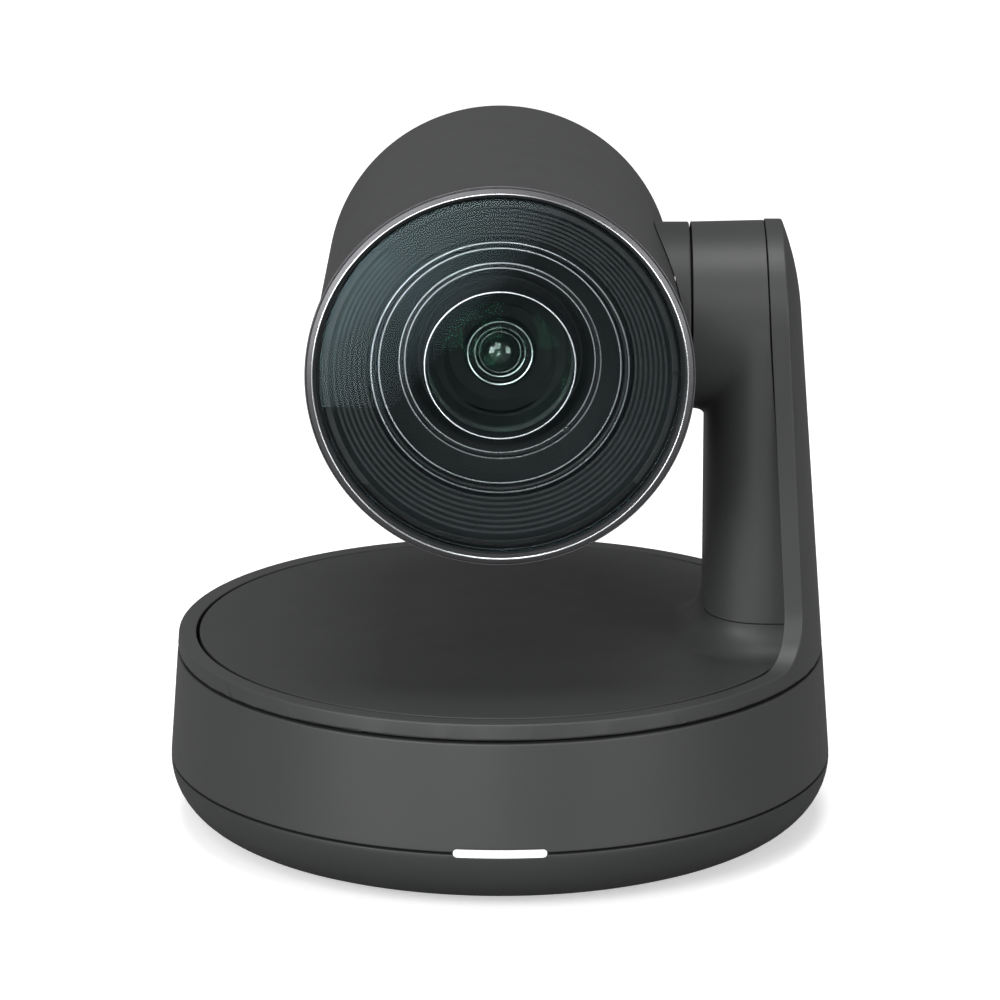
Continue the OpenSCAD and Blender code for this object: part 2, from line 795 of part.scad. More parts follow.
module tilt_motor() {
    can = plate_x - hub_x - cover_wall - 3.7;
    color("silver") on_tilt(plate_x - can, tilt_motor_z) difference() {
        union() {
            cylinder(r = tilt_motor_r, h = can);
            cylinder(r = 3, h = can + 1.5);
        }
        translate([0, 0, can - 4]) cylinder(r = motor_shaft_r + running, h = 10);
    }
}

// Flat outline round both pulleys, grown by the clearance; X points down to the motor
module belt_2d(grow) {
    drop = tilt_z - tilt_motor_z;
    lean = asin((pulley_r - motor_pulley_r) / drop);
    polygon(concat(
        [for (i = [0 : 24]) let (a = 90 - lean + i * (180 + 2 * lean) / 24)
            (pulley_r + grow) * [cos(a), sin(a)]],
        [for (i = [0 : 16]) let (a = -90 + lean + i * (180 - 2 * lean) / 16)
            [drop, 0] + (motor_pulley_r + grow) * [cos(a), sin(a)]]
    ));
}

module tilt_belt() {
    color("black") on_tilt(pulley_x + 0.3) linear_extrude(belt_w) difference() {
        belt_2d(0.1 + belt_t);
        belt_2d(0.1);
    }
}

module arm_cable() {
    cable_x = plate_x + 1.5;
    color("chocolate") translate([0, frame_y + 0.3, plate_top + 0.3]) {
        cube([cable_x + cable_t, cable_w, cable_t]);
        translate([cable_x, 0, 0]) cube([cable_t, cable_w, tilt_z - plate_top - 8]);
    }
}

module arm_screws() {
    color("gray") for (y = [-9, 9]) translate([plate_x - 2.5, y, plate_top + 3]) {
        cylinder(r = 2, h = 1.4);
    }
}

module tilt_pinion() {
    x0 = plate_x - 3.5;
    color("gold") {
        on_tilt(x0, tilt_motor_z) cylinder(r = motor_shaft_r, h = shaft_out_x - x0);
        on_tilt(pulley_x, tilt_motor_z) cylinder(r = motor_pulley_r, h = pulley_w);
    }
}

// ---- head ----

// Half outline of the head's covers in [radius, forward distance], shrunk by the inset
function head_profile(inset) = [
    [0, -head_back - dome_len + inset],
    for (i = [1 : 24])
        let (a = i * 90 / 24)
            [(head_back_r - inset) * pow(sin(a), 0.85), -head_back - (dome_len - inset) * pow(cos(a), 0.95)],
    [head_r - inset, head_front],
    [0, head_front]
];

module head_solid(inset) {
    rotate_extrude() polygon(head_profile(inset));
}

module head_shell(from, to) {
    intersection() {
        difference() {
            head_solid(0);
            head_solid(head_wall);
        }
        translate([0, 0, from]) cylinder(r = head_r + 5, h = to - from);
    }
}

module head_housing() {
    color("dimgray") difference() {
        on_lens() head_shell(-head_split + seam / 2, head_front);
        on_tilt(0) cylinder(r = collar_r - 4, h = head_r + 5);
    }
}

module head_rear_cover() {
    lip = dome_radius(head_split) - head_wall - fit - 0.2;
    color("dimgray") on_lens() {
        head_shell(-head_back - dome_len - 1, -head_split - seam / 2);
        translate([0, 0, -head_split - 3]) tube(lip, lip - 1.4, 6);
        translate([0, 0, -head_split - 3]) difference() {
            head_solid_slice();
            translate([0, 0, -1]) cylinder(r = lip - 1.4, h = 6);
        }
    }
}

// A short solid slice of the head at the split, which ties the lip to the rear cover
module head_solid_slice() {
    intersection() {
        translate([0, 0, head_split + 3]) head_solid(0.5);
        cylinder(r = head_r, h = 2);
    }
}

module tilt_collar() {
    color("dimgray") difference() {
        on_tilt(0) difference() {
            cylinder(r = collar_r, h = collar_x);
            translate([0, 0, -1]) cylinder(r = collar_r - head_wall, h = collar_x - head_wall + 1);
            cylinder(r = shaft_r + running, h = collar_x + 1);
        }
        on_lens() head_solid(0);
    }
}

module bezel_ring() {
    color("gray") on_lens() rotate_extrude() polygon([
        [glass_r + 0.2, bezel_z],
        [head_r + 0.4, bezel_z],
        [bezel_r, bezel_z + 2.6],
        [bezel_r - 0.6, bezel_front],
        [bezel_edge_r, bezel_front - 0.5],
        [glass_r + 1, bezel_front - 1.6],
        [glass_r + 0.2, bezel_front - 1.8]
    ]);
}

module cover_glass() {
    color("lightblue") on_lens() translate([0, 0, glass_z]) cylinder(r = glass_r, h = glass_t);
}

module lens_hood() {
    step = (hood_front_r - hood_back_r) / hood_ribs;
    drop = (hood_front_z - hood_back_z) / hood_ribs;
    ribs = [for (i = [0 : hood_ribs - 1]) each [
        [hood_front_r - i * step, hood_front_z - i * drop],
        [hood_front_r - (i + 0.45) * step, hood_front_z - i * drop],
        [hood_front_r - (i + 0.6) * step, hood_front_z - (i + 1) * drop]
    ]];
    color("black") on_lens() rotate_extrude() polygon(concat(
        [[hood_out_r, glass_z], [hood_front_r + 1, glass_z]],
        ribs,
        [
            [hood_back_r, hood_back_z],
            [hood_back_r, ring_back_z],
            [hood_back_r + 2, ring_back_z],
            [hood_back_r + 2, hood_back_z - 1.5],
            [hood_out_r, hood_front_z - 4]
        ]
    ));
}

module lens_front_ring() {
    bore = front_lens_r + lens_ring_t + 2 * fit;
    color("black") on_lens() rotate_extrude() polygon([
        [ring_r, hood_back_z - 2.8],
        [ring_edge_r + 0.6, hood_back_z - 2.8],
        [ring_edge_r + 0.6, hood_back_z - 1],
        [ring_edge_r, hood_back_z - 1],
        [funnel_r, hood_back_z - 6.1],
        [bore, hood_back_z - 6.5],
        [bore, lens_seat_z],
        [ring_r, lens_seat_z]
    ]);
}

module front_lens() {
    cap = (pow(front_lens_r, 2) + pow(lens_dome, 2)) / (2 * lens_dome);
    edge_z = lens_seat_z + lens_lip_t;
    color("teal") on_lens() difference() {
        intersection() {
            translate([0, 0, edge_z + lens_edge_t + lens_dome - cap]) sphere(r = cap, $fn = 200);
            translate([0, 0, edge_z]) cylinder(r = front_lens_r, h = lens_edge_t + lens_dome + 1);
        }
        translate([0, 0, edge_z + lens_edge_t + lens_dome - 3 - lens_hollow_r]) sphere(r = lens_hollow_r, $fn = 160);
    }
}

module lens_barrel() {
    color("black") on_lens() difference() {
        union() {
            translate([0, 0, barrel_back]) cylinder(r = barrel_r, h = lens_seat_z - barrel_back);
            translate([0, 0, lens_seat_z - 2]) cylinder(r = ring_r, h = 2);
        }
        translate([0, 0, barrel_back + 2]) cylinder(r = barrel_bore, h = lens_seat_z - barrel_back - 4);
        translate([0, 0, barrel_back + 2]) cylinder(r = barrel_stop_r, h = 100);
        translate([0, 0, barrel_back - 1]) cylinder(r = 9, h = 5);
    }
}

module lens_retaining_ring() {
    inner = front_lens_r + fit;
    outer = inner + lens_ring_t;
    color("gray") on_lens() translate([0, 0, lens_seat_z]) rotate_extrude() polygon([
        [barrel_stop_r, 0],
        [outer, 0],
        [outer, lens_ring_h - 0.4],
        [outer - 0.4, lens_ring_h],
        [inner + 0.5, lens_ring_h],
        [inner, lens_ring_h - 1.2],
        [inner, lens_lip_t - 0.05],
        [barrel_stop_r, lens_lip_t - 0.05]
    ]);
}

module second_lens() {
    cap = 24;
    color("teal") on_lens() intersection() {
        translate([0, 0, second_lens_z + 4.4 - cap]) sphere(r = cap, $fn = 160);
        translate([0, 0, second_lens_z]) cylinder(r = second_lens_r, h = 6);
    }
}

// The black cell that holds the second lens, with the stop behind it
module lens_cell() {
    color("black") on_lens() rotate_extrude() polygon([
        [aperture_r, aperture_z],
        [barrel_bore - 0.1, aperture_z],
        [barrel_bore - 0.1, cell_wall_z],
        [second_lens_r + 2.4, cell_wall_z],
        [second_lens_r + 0.1, second_lens_z + 3],
        [second_lens_r + 0.1, second_lens_z - 0.05],
        [second_lens_r - 1.4, second_lens_z - 0.05],
        [aperture_r + 1.6, aperture_z + 2],
        [aperture_r, aperture_z + 0.6]
    ]);
}

// Angles of the two guide rods round the lens axis
module at_rods() {
    for (a = [90, 270]) rotate([0, 0, a]) translate([rod_ring_r, 0, 0]) children();
}

module guide_rods() {
    color("silver") on_lens() at_rods() translate([0, 0, barrel_back + 2])
        cylinder(r = rod_r, h = aperture_z - barrel_back - 2);
}

// A lens in its holder, sliding on the two rods
module lens_group(z, len) {
    on_lens() translate([0, 0, z]) {
        color("dimgray") difference() {
            cylinder(r = group_r, h = len);
            translate([0, 0, -1]) cylinder(r = zoom_lens_r, h = len + 2);
            at_rods() translate([0, 0, -1]) cylinder(r = rod_r + running, h = len + 2);
        }
        color("teal") translate([0, 0, len / 2 - 1.5]) cylinder(r = zoom_lens_r, h = 3);
    }
}

module zoom_group() {
    lens_group(zoom_z, zoom_len);
}

module focus_group() {
    lens_group(focus_z, focus_len);
}

module camera_chassis() {
    color("silver") difference() {
        union() {
            on_lens() translate([0, 0, 10]) cylinder(r = barrel_r + 3, h = 10);
            translate([chassis_x - 1, -26, tilt_z - 20]) cube([chassis_plate_t + 1, 52, 40]);
            on_tilt(chassis_x) cylinder(r = shaft_r + 3, h = chassis_plate_t + 3);
        }
        on_lens() translate([0, 0, -50]) cylinder(r = barrel_r, h = 100);
        on_tilt(shaft_in_x) cylinder(r = shaft_r, h = 30);
    }
}

module sensor_board() {
    h = sensor_size / 2;
    color("darkgreen") translate([-h, -barrel_back, tilt_z - h]) cube([sensor_size, board_t, sensor_size]);
    color("black") translate([-6, -barrel_back - 1.4, tilt_z - 4.5]) cube([12, 1.4 + 0.1, 9]);
}

module image_board() {
    color("darkgreen") translate([-20, -25, tilt_z - 30]) cube([40, 46, board_t]);
}

module heat_sink() {
    y0 = -barrel_back + board_t;
    color("gray") translate([-17, y0, tilt_z - 17]) {
        cube([34, 2, 34]);
        for (i = [0 : 8]) translate([i * 4.1, 0, 0]) cube([1.2, 10, 34]);
    }
}

module tilt_shaft() {
    color("silver") on_tilt(shaft_in_x) tube(shaft_r, shaft_r - 2, shaft_out_x - shaft_in_x + 0.4);
}

module tilt_bearing_inner() {
    color("silver") for (x = tilt_bearing_xs)
        on_tilt(x) race(shaft_r, shaft_r + tilt_race_t, tilt_bearing_w, shaft_r + 2.5, tilt_ball_r + running);
}

module tilt_pulley() {
    color("gray") on_tilt(pulley_x) tube(pulley_r, shaft_r, pulley_w);
}

module head_screws() {
    color("gray") for (x = [-1, 1], z = [-1, 1])
        translate([x * screw_x, -barrel_back + board_t, tilt_z + z * screw_x])
            rotate([-90, 0, 0]) cylinder(r = 1.2, h = 1.2);
}

bottom_pan();
foot_ring();
base_housing();
led_light_bar();
led_board();
port_panel();
dc_jack();
usb_c_socket();
hdmi_socket();
din_socket();
io_board();
main_board();
processor_shield();
heat_spreader();
pair_button();
pair_switch();
base_chassis();
pan_bearing_outer();
pan_bearing_balls();
pan_motor();
tripod_insert();
base_screws();
pan_pinion();
turntable_plate();
pan_bearing_inner();
pan_gear();
rim_shell();
deck_panel();
arm_inner_cover();
arm_frame();
tilt_bearing_outer();
tilt_bearing_balls();
tilt_motor();
tilt_belt();
arm_cable();
arm_screws();
tilt_pinion();
head_housing();
head_rear_cover();
tilt_collar();
bezel_ring();
cover_glass();
lens_hood();
lens_front_ring();
front_lens();
lens_barrel();
lens_retaining_ring();
second_lens();
lens_cell();
guide_rods();
camera_chassis();
sensor_board();
image_board();
heat_sink();
tilt_shaft();
tilt_bearing_inner();
tilt_pulley();
head_screws();
zoom_group();
focus_group();
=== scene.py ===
"""The finished look of the conference camera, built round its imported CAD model."""

import json
from math import acos, asin, atan, atan2, ceil, cos, pi, radians, sin, sqrt, tan

import bpy
from mathutils import Matrix, Vector


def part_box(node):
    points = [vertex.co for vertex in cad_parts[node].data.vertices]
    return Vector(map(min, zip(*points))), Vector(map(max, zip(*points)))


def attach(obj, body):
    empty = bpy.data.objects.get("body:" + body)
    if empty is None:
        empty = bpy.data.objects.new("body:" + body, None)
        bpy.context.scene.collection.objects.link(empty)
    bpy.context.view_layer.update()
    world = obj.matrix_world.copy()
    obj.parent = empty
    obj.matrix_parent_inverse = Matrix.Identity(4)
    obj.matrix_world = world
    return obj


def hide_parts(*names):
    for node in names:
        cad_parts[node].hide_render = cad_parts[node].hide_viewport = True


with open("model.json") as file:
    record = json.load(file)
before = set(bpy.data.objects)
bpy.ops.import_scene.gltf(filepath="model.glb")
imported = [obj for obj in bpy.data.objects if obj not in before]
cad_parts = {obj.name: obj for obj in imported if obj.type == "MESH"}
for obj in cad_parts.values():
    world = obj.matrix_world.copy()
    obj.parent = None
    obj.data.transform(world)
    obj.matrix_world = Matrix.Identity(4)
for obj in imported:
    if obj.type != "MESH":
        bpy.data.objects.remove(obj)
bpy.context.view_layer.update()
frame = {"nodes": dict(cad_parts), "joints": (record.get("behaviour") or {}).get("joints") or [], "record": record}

MM = 0.001
SPIN_STEPS = 192
ARC_STEPS = 36
SHARP = radians(32)

# ---------------------------------------------------------------- sizes, read from the frame

tilt_z = next(j for j in frame["joints"] if j["name"] == "tilt")["pos_m"][2]


def low(node):
    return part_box(node)[0]


def high(node):
    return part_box(node)[1]


# Base
SEAM = 0.5 * MM
MOVE_GAP = 0.7 * MM
FIT = 0.15 * MM
WALL = 2.4 * MM
DRAFT = 0.0745
base_r = high("bottom_pan").x
floor_z = low("bottom_pan").z
seam_z = low("base_housing").z - SEAM / 2
pan_edge_r = seam_z - floor_z
housing_top = high("base_housing").z
foot_r = high("foot_ring").x
foot_w = 7 * MM
foot_top = high("foot_ring").z


def outer_r(z):
    """Radius of the base's and the arm's outer surface at a height."""
    return base_r - DRAFT * (z - seam_z)


# Rim and arm
SKIN = 4 * MM
RIM_H = 3.7 * MM
ARM_FOOT_Y = 25.8 * MM
ARM_FILLET = 12.5 * MM
LEAN_R = 68 * MM
COLUMN_Y = 22 * MM
COLUMN_CORNER = 13 * MM
SKIRT_GAP = 0.9 * MM
LEAN_START = 2 * MM
ARCH_DROP = 0.7 * MM
ARCH_SPARE = 2 * MM
HUB_STEP = 0.5 * MM
NOSE_STEP = 3.2 * MM
rim_z = housing_top + MOVE_GAP
rim_top = rim_z + RIM_H
rim_low = low("rim_shell").z
deck_r = outer_r(rim_top) - SKIN - SEAM
skirt_r = outer_r(housing_top) - WALL - SKIRT_GAP
column_seam_z = high("deck_panel").z
arch_top = high("rim_shell").z - ARCH_DROP
arch_r = arch_top - tilt_z
lean_z = tilt_z + LEAN_START
lean_cx = outer_r(lean_z) - LEAN_R * cos(atan(DRAFT))
lean_cz = lean_z - LEAN_R * sin(atan(DRAFT))
skin_top = arch_top + ARCH_SPARE
hub_x = low("arm_inner_cover").x
hub_r = arch_r - HUB_STEP
nose_x = hub_x + NOSE_STEP

# Head, measured forwards from the tilt axis along the lens
collar_x = high("tilt_collar").x
collar_r = high("tilt_collar").y
head_front = -low("head_housing").y
head_r = high("head_housing").x
HEAD_BACK_R = 40 * MM
HEAD_BACK = 38 * MM
HEAD_WALL = 2 * MM
HEAD_SPLIT = 45 * MM
head_end = high("head_rear_cover").y
bezel_r = high("bezel_ring").x
bezel_back = -high("bezel_ring").y
bezel_front = -low("bezel_ring").y
glass_r = high("cover_glass").x
glass_back = -high("cover_glass").y
glass_front = -low("cover_glass").y
hood_r = high("lens_hood").x
HOOD_FRONT_R = 37 * MM
HOOD_BACK_R = 29.4 * MM
HOOD_RECESS = 0.3 * MM
HOOD_DEPTH = 5.7 * MM
hood_front = head_front - HOOD_RECESS
hood_back = head_front - HOOD_DEPTH
ring_back = -high("lens_front_ring").y
lens_r = high("front_lens").x
PUPIL_R = 7.6 * MM


def lean_r(z):
    """Radius of the arm's outer surface where it leans in towards its top."""
    return lean_cx + sqrt(LEAN_R**2 - (z - lean_cz) ** 2)


# ---------------------------------------------------------------- camera

CAMERA_BACK = 1.2537
CAMERA_UP = 0.4271
CAMERA_TILT = 74.284
CAMERA_LENS = 204.9

bpy.ops.object.camera_add(location=(0, -CAMERA_BACK, CAMERA_UP), rotation=(radians(CAMERA_TILT), 0, 0))
camera = bpy.context.object
camera.data.lens = CAMERA_LENS
camera.data.sensor_width = 36
camera.data.clip_start = 0.01
bpy.context.scene.camera = camera
bpy.context.scene.view_settings.view_transform = "Standard"

# ---------------------------------------------------------------- materials

CLOUD_SCALE = 45
SMEAR_SCALE = 120
HAZE_SCALE = 900
GRAIN_DEPTH = 0.05 * MM


def new_material(name):
    """A new node material that holds only its output, as (material, tree, output)."""
    material = bpy.data.materials.new(name)
    material.use_nodes = True
    tree = material.node_tree
    tree.nodes.clear()
    output = tree.nodes.new("ShaderNodeOutputMaterial")
    return material, tree, output


def texture(tree, scale, detail):
    """The value of a noise texture on Object coordinates, with its scale for each metre."""
    place = tree.nodes.new("ShaderNodeTexCoord")
    node = tree.nodes.new("ShaderNodeTexNoise")
    node.inputs["Scale"].default_value = scale
    node.inputs["Detail"].default_value = detail
    tree.links.new(place.outputs["Object"], node.inputs["Vector"])
    return node.outputs["Fac"]


def spread(tree, source, lowest, highest):
    """Maps a texture's value to a range."""
    node = tree.nodes.new("ShaderNodeMapRange")
    node.inputs["From Min"].default_value = 0.25
    node.inputs["From Max"].default_value = 0.75
    node.inputs["To Min"].default_value = lowest
    node.inputs["To Max"].default_value = highest
    tree.links.new(source, node.inputs["Value"])
    return node.outputs["Result"]


def shade(tree, source, dark, light):
    """Maps a texture's value to a colour between two."""
    node = tree.nodes.new("ShaderNodeValToRGB")
    node.color_ramp.elements[0].position = 0.3
    node.color_ramp.elements[1].position = 0.7
    node.color_ramp.elements[0].color = (*dark, 1)
    node.color_ramp.elements[1].color = (*light, 1)
    tree.links.new(source, node.inputs["Fac"])
    return node.outputs["Color"]


def surface(name, colour, roughness, grain=0.0, grain_scale=2500, metal=0.0, vary=0.08, rough_vary=0.06,
            coat=0.0, specular=0.5):
    """A solid finish: cloudy colour, uneven roughness and a fine grain."""
    material, tree, output = new_material(name)
    shader = tree.nodes.new("ShaderNodeBsdfPrincipled")
    shader.inputs["Metallic"].default_value = metal
    shader.inputs["Coat Weight"].default_value = coat
    shader.inputs["Coat Roughness"].default_value = 0.1
    shader.inputs["Specular IOR Level"].default_value = specular
    tree.links.new(shader.outputs["BSDF"], output.inputs["Surface"])
    clouds = texture(tree, CLOUD_SCALE, 4)
    dark = [c * (1 - vary) for c in colour]
    light = [c * (1 + vary) for c in colour]
    tree.links.new(shade(tree, clouds, dark, light), shader.inputs["Base Color"])
    smears = texture(tree, SMEAR_SCALE, 3)
    rough = spread(tree, smears, roughness - rough_vary, roughness + rough_vary)
    tree.links.new(rough, shader.inputs["Roughness"])
    if grain:
        fine = texture(tree, grain_scale, 3)
        bump = tree.nodes.new("ShaderNodeBump")
        bump.inputs["Strength"].default_value = grain
        bump.inputs["Distance"].default_value = GRAIN_DEPTH
        tree.links.new(fine, bump.inputs["Height"])
        tree.links.new(bump.outputs["Normal"], shader.inputs["Normal"])
    return material


def coated(tree, below, mirror, roughness, ior):
    """A coating over another shader, which mirrors in its own tint and more at a shallow angle."""
    gloss = tree.nodes.new("ShaderNodeBsdfGlossy")
    gloss.inputs["Color"].default_value = (*mirror, 1)
    gloss.inputs["Roughness"].default_value = roughness
    rim = tree.nodes.new("ShaderNodeFresnel")
    rim.inputs["IOR"].default_value = ior
    mix = tree.nodes.new("ShaderNodeMixShader")
    tree.links.new(rim.outputs["Fac"], mix.inputs["Fac"])
    tree.links.new(below, mix.inputs[1])
    tree.links.new(gloss.outputs["BSDF"], mix.inputs[2])
    return mix.outputs["Shader"]


def pane(name, through, mirror, roughness, ior):
    """Thin coated glass: what is behind it shows straight through."""
    material, tree, output = new_material(name)
    clear = tree.nodes.new("ShaderNodeBsdfTransparent")
    clear.inputs["Color"].default_value = (*through, 1)
    tree.links.new(coated(tree, clear.outputs["BSDF"], mirror, roughness, ior), output.inputs["Surface"])
    return material


def optical(name, colour, mirror, ior, coat_ior):
    """Solid optical glass that bends what is behind it and lets light through to it."""
    material, tree, output = new_material(name)
    bend = tree.nodes.new("ShaderNodeBsdfRefraction")
    bend.inputs["Color"].default_value = (*colour, 1)
    bend.inputs["Roughness"].default_value = 0
    bend.inputs["IOR"].default_value = ior
    clear = tree.nodes.new("ShaderNodeBsdfTransparent")
    path = tree.nodes.new("ShaderNodeLightPath")
    lit = tree.nodes.new("ShaderNodeMixShader")
    tree.links.new(path.outputs["Is Shadow Ray"], lit.inputs["Fac"])
    tree.links.new(coated(tree, bend.outputs["BSDF"], mirror, 0.04, coat_ior), lit.inputs[1])
    tree.links.new(clear.outputs["BSDF"], lit.inputs[2])
    tree.links.new(lit.outputs["Shader"], output.inputs["Surface"])
    return material


def light_source(name, colour, strength):
    """A diffuser that is lit from behind."""
    material, tree, output = new_material(name)
    shader = tree.nodes.new("ShaderNodeBsdfPrincipled")
    shader.inputs["Roughness"].default_value = 0.35
    shader.inputs["Emission Color"].default_value = (*colour, 1)
    shader.inputs["Emission Strength"].default_value = strength
    haze = texture(tree, HAZE_SCALE, 2)
    tree.links.new(shade(tree, haze, (0.78, 0.8, 0.8), (0.9, 0.9, 0.9)), shader.inputs["Base Color"])
    tree.links.new(shader.outputs["BSDF"], output.inputs["Surface"])
    return material


charcoal = surface("satin_charcoal", (0.040, 0.041, 0.041), 0.45, grain=0.08, grain_scale=3200, vary=0.025,
                   rough_vary=0.02, specular=0.35)
# A darker copy of the satin charcoal, used as painted shade: on the downward-facing pan, on the deck and on the
# collar under the head.
shaded_charcoal = surface("shaded_charcoal", (0.034, 0.035, 0.035), 0.50, grain=0.10, grain_scale=3200, vary=0.025,
                        rough_vary=0.02, specular=0.3)
bezel_metal = surface("bezel_gunmetal", (0.10, 0.10, 0.105), 0.40, grain=0.9, grain_scale=3600, metal=0.85)
cut_edge = surface("diamond_cut_edge", (0.80, 0.80, 0.82), 0.26, metal=1.0, grain=0.1, grain_scale=3000,
                   rough_vary=0.04)
worn_edge = surface("satin_edge", (0.30, 0.31, 0.32), 0.28, metal=0.9, grain=0.15, grain_scale=3000)
hood_black = surface("hood_black", (0.012, 0.0125, 0.013), 0.38, grain=0.18, grain_scale=5200, vary=0.15,
                     specular=0.25)
ring_black = surface("lens_ring_black", (0.012, 0.0122, 0.0125), 0.40, grain=0.6, grain_scale=4200, vary=0.2,
                     specular=0.22)
# Deep black is the lens cell's own colour; it also paints shade in the gaps at the rim's skirt, the hub and the
# collar, and under the bezel's lip.
deep_black = surface("deep_black", (0.0025, 0.0025, 0.0025), 0.6, grain=0.2, vary=0.2, specular=0.08)
rubber = surface("foot_rubber", (0.018, 0.018, 0.018), 0.75, grain=0.4, grain_scale=1800, vary=0.15)
port_black = surface("port_black", (0.022, 0.022, 0.022), 0.5, grain=0.25, grain_scale=2600)
solder_mask = surface("solder_mask", (0.015, 0.10, 0.045), 0.32, grain=0.12, grain_scale=900, coat=0.4)
plated_steel = surface("plated_steel", (0.60, 0.60, 0.59), 0.26, metal=1.0, grain=0.08)
cast_alloy = surface("cast_alloy", (0.50, 0.51, 0.52), 0.42, metal=1.0, grain=0.35, grain_scale=1500)
ground_steel = surface("ground_steel", (0.66, 0.66, 0.66), 0.16, metal=1.0)
zinc_steel = surface("zinc_steel", (0.46, 0.46, 0.45), 0.34, metal=1.0, grain=0.15)
brass = surface("machined_brass", (0.70, 0.50, 0.22), 0.24, metal=1.0, grain=0.08)
cover_coating = pane("coated_window", (0.96, 0.98, 0.98), (0.62, 0.92, 1.0), 0.01, 1.2)
front_glass = optical("front_element_glass", (0.93, 0.98, 0.96), (0.1, 0.4, 0.25), 1.5, 1.16)
inner_glass = surface("inner_element_glass", (0.002, 0.004, 0.003), 0.06, coat=1.0, rough_vary=0.02, vary=0.2)
status_glow = light_source("status_glow", (0.93, 0.97, 1.0), 0.7)

SLOT_FINISH = {
    "charcoal_plastic": charcoal,
    "foot_rubber": rubber,
    "status_light": status_glow,
    "circuit_board": solder_mask,
    "black_plastic": port_black,
    "connector_steel": plated_steel,
    "cast_alloy": cast_alloy,
    "bearing_steel": ground_steel,
    "motor_steel": zinc_steel,
    "brass": brass,
    "bezel_metal": bezel_metal,
    "clear_glass": cover_coating,
    "coated_lens": front_glass,
    "lens_black": hood_black,
}
for part in frame["record"]["subparts"]:
    node = frame["nodes"][part["node"]]
    for place in node.material_slots:
        place.material = SLOT_FINISH[part["material_slot"]]

# ---------------------------------------------------------------- modelling helpers


def take(piece):
    """Makes one piece the only selected and active one."""
    bpy.ops.object.select_all(action="DESELECT")
    piece.select_set(True)
    bpy.context.view_layer.objects.active = piece


def rounded(corners):
    """A closed outline through the corners (x, y, radius), with an arc at each corner that has a radius."""
    points = []
    for i, (x, y, radius) in enumerate(corners):
        here = Vector((x, y))
        if not radius:
            points.append(here)
            continue
        back = (Vector(corners[i - 1][:2]) - here).normalized()
        ahead = (Vector(corners[(i + 1) % len(corners)][:2]) - here).normalized()
        half = back.angle(ahead) / 2
        centre = here + (back + ahead).normalized() * (radius / sin(half))
        first = here + back * (radius / tan(half)) - centre
        last = here + ahead * (radius / tan(half)) - centre
        start = atan2(first.y, first.x)
        sweep = (atan2(last.y, last.x) - start + pi) % (2 * pi) - pi
        steps = max(2, ceil(abs(sweep) / (2 * pi) * ARC_STEPS))
        points += [
            centre + radius * Vector((cos(start + sweep * k / steps), sin(start + sweep * k / steps)))
            for k in range(steps + 1)
        ]
    return points


def rounded_box(left, bottom, right, top, radius):
    """A closed rectangular outline with rounded corners."""
    return rounded([(left, bottom, radius), (right, bottom, radius), (right, top, radius), (left, top, radius)])


def draw(name, points):
    """A new piece in edit mode: a line drawn through the points by extruding one vertex, back to its start."""
    bpy.ops.object.select_all(action="DESELECT")
    bpy.ops.mesh.primitive_plane_add(size=MM)
    piece = bpy.context.object
    piece.name = name
    bpy.ops.object.mode_set(mode="EDIT")
    bpy.ops.mesh.merge(type="CENTER")
    here = Vector((0, 0, 0))
    bpy.ops.transform.translate(value=points[0] - here)
    for here, there in zip(points, points[1:] + points[:1]):
        bpy.ops.mesh.extrude_region_move(TRANSFORM_OT_translate={"value": there - here})
    bpy.ops.mesh.select_all(action="SELECT")
    bpy.ops.mesh.remove_doubles(threshold=0.001 * MM)
    return piece


def close_up():
    """Merges what meets, turns the faces outwards and leaves edit mode."""
    bpy.ops.mesh.select_all(action="SELECT")
    bpy.ops.mesh.remove_doubles(threshold=0.004 * MM)
    bpy.ops.mesh.normals_make_consistent(inside=False)
    bpy.ops.object.mode_set(mode="OBJECT")


UP = (lambda r, h: Vector((r, 0, h)), (0, 0, 1), (0, 0, 0))
LENS = (lambda r, h: Vector((r, -h, tilt_z)), (0, 1, 0), (0, 0, tilt_z))
TILT = (lambda r, h: Vector((h, 0, tilt_z + r)), (1, 0, 0), (0, 0, tilt_z))


def turned(name, outline, axis=UP, steps=SPIN_STEPS):
    """A closed outline of (radius, distance along the axis), drawn and spun round the axis."""
    place, direction, centre = axis
    piece = draw(name, [place(*p) for p in outline])
    bpy.ops.mesh.select_all(action="SELECT")
    bpy.ops.mesh.spin(steps=steps, angle=2 * pi, center=centre, axis=direction, use_auto_merge=True)
    close_up()
    return piece


def prism(name, points, depth):
    """A closed outline of points, filled and extruded by the depth."""
    piece = draw(name, points)
    bpy.ops.mesh.edge_face_add()
    bpy.ops.mesh.extrude_region_move(TRANSFORM_OT_translate={"value": depth})
    close_up()
    return piece


def block(name, lowest, highest):
    """A box between two corners."""
    lowest, highest = Vector(lowest), Vector(highest)
    bpy.ops.object.select_all(action="DESELECT")
    bpy.ops.mesh.primitive_cube_add(size=1)
    piece = bpy.context.object
    piece.name = name
    bpy.ops.object.mode_set(mode="EDIT")
    bpy.ops.transform.resize(value=highest - lowest)
    bpy.ops.transform.translate(value=(lowest + highest) / 2)
    bpy.ops.object.mode_set(mode="OBJECT")
    return piece


def combine(piece, tool, operation="DIFFERENCE"):
    """Cuts, joins or trims a piece with a tool, which is then gone."""
    take(piece)
    modifier = piece.modifiers.new("shape", "BOOLEAN")
    modifier.operation = operation
    modifier.solver = "EXACT"
    modifier.object = tool
    bpy.ops.object.modifier_apply(modifier=modifier.name)
    bpy.data.objects.remove(tool)
    return piece


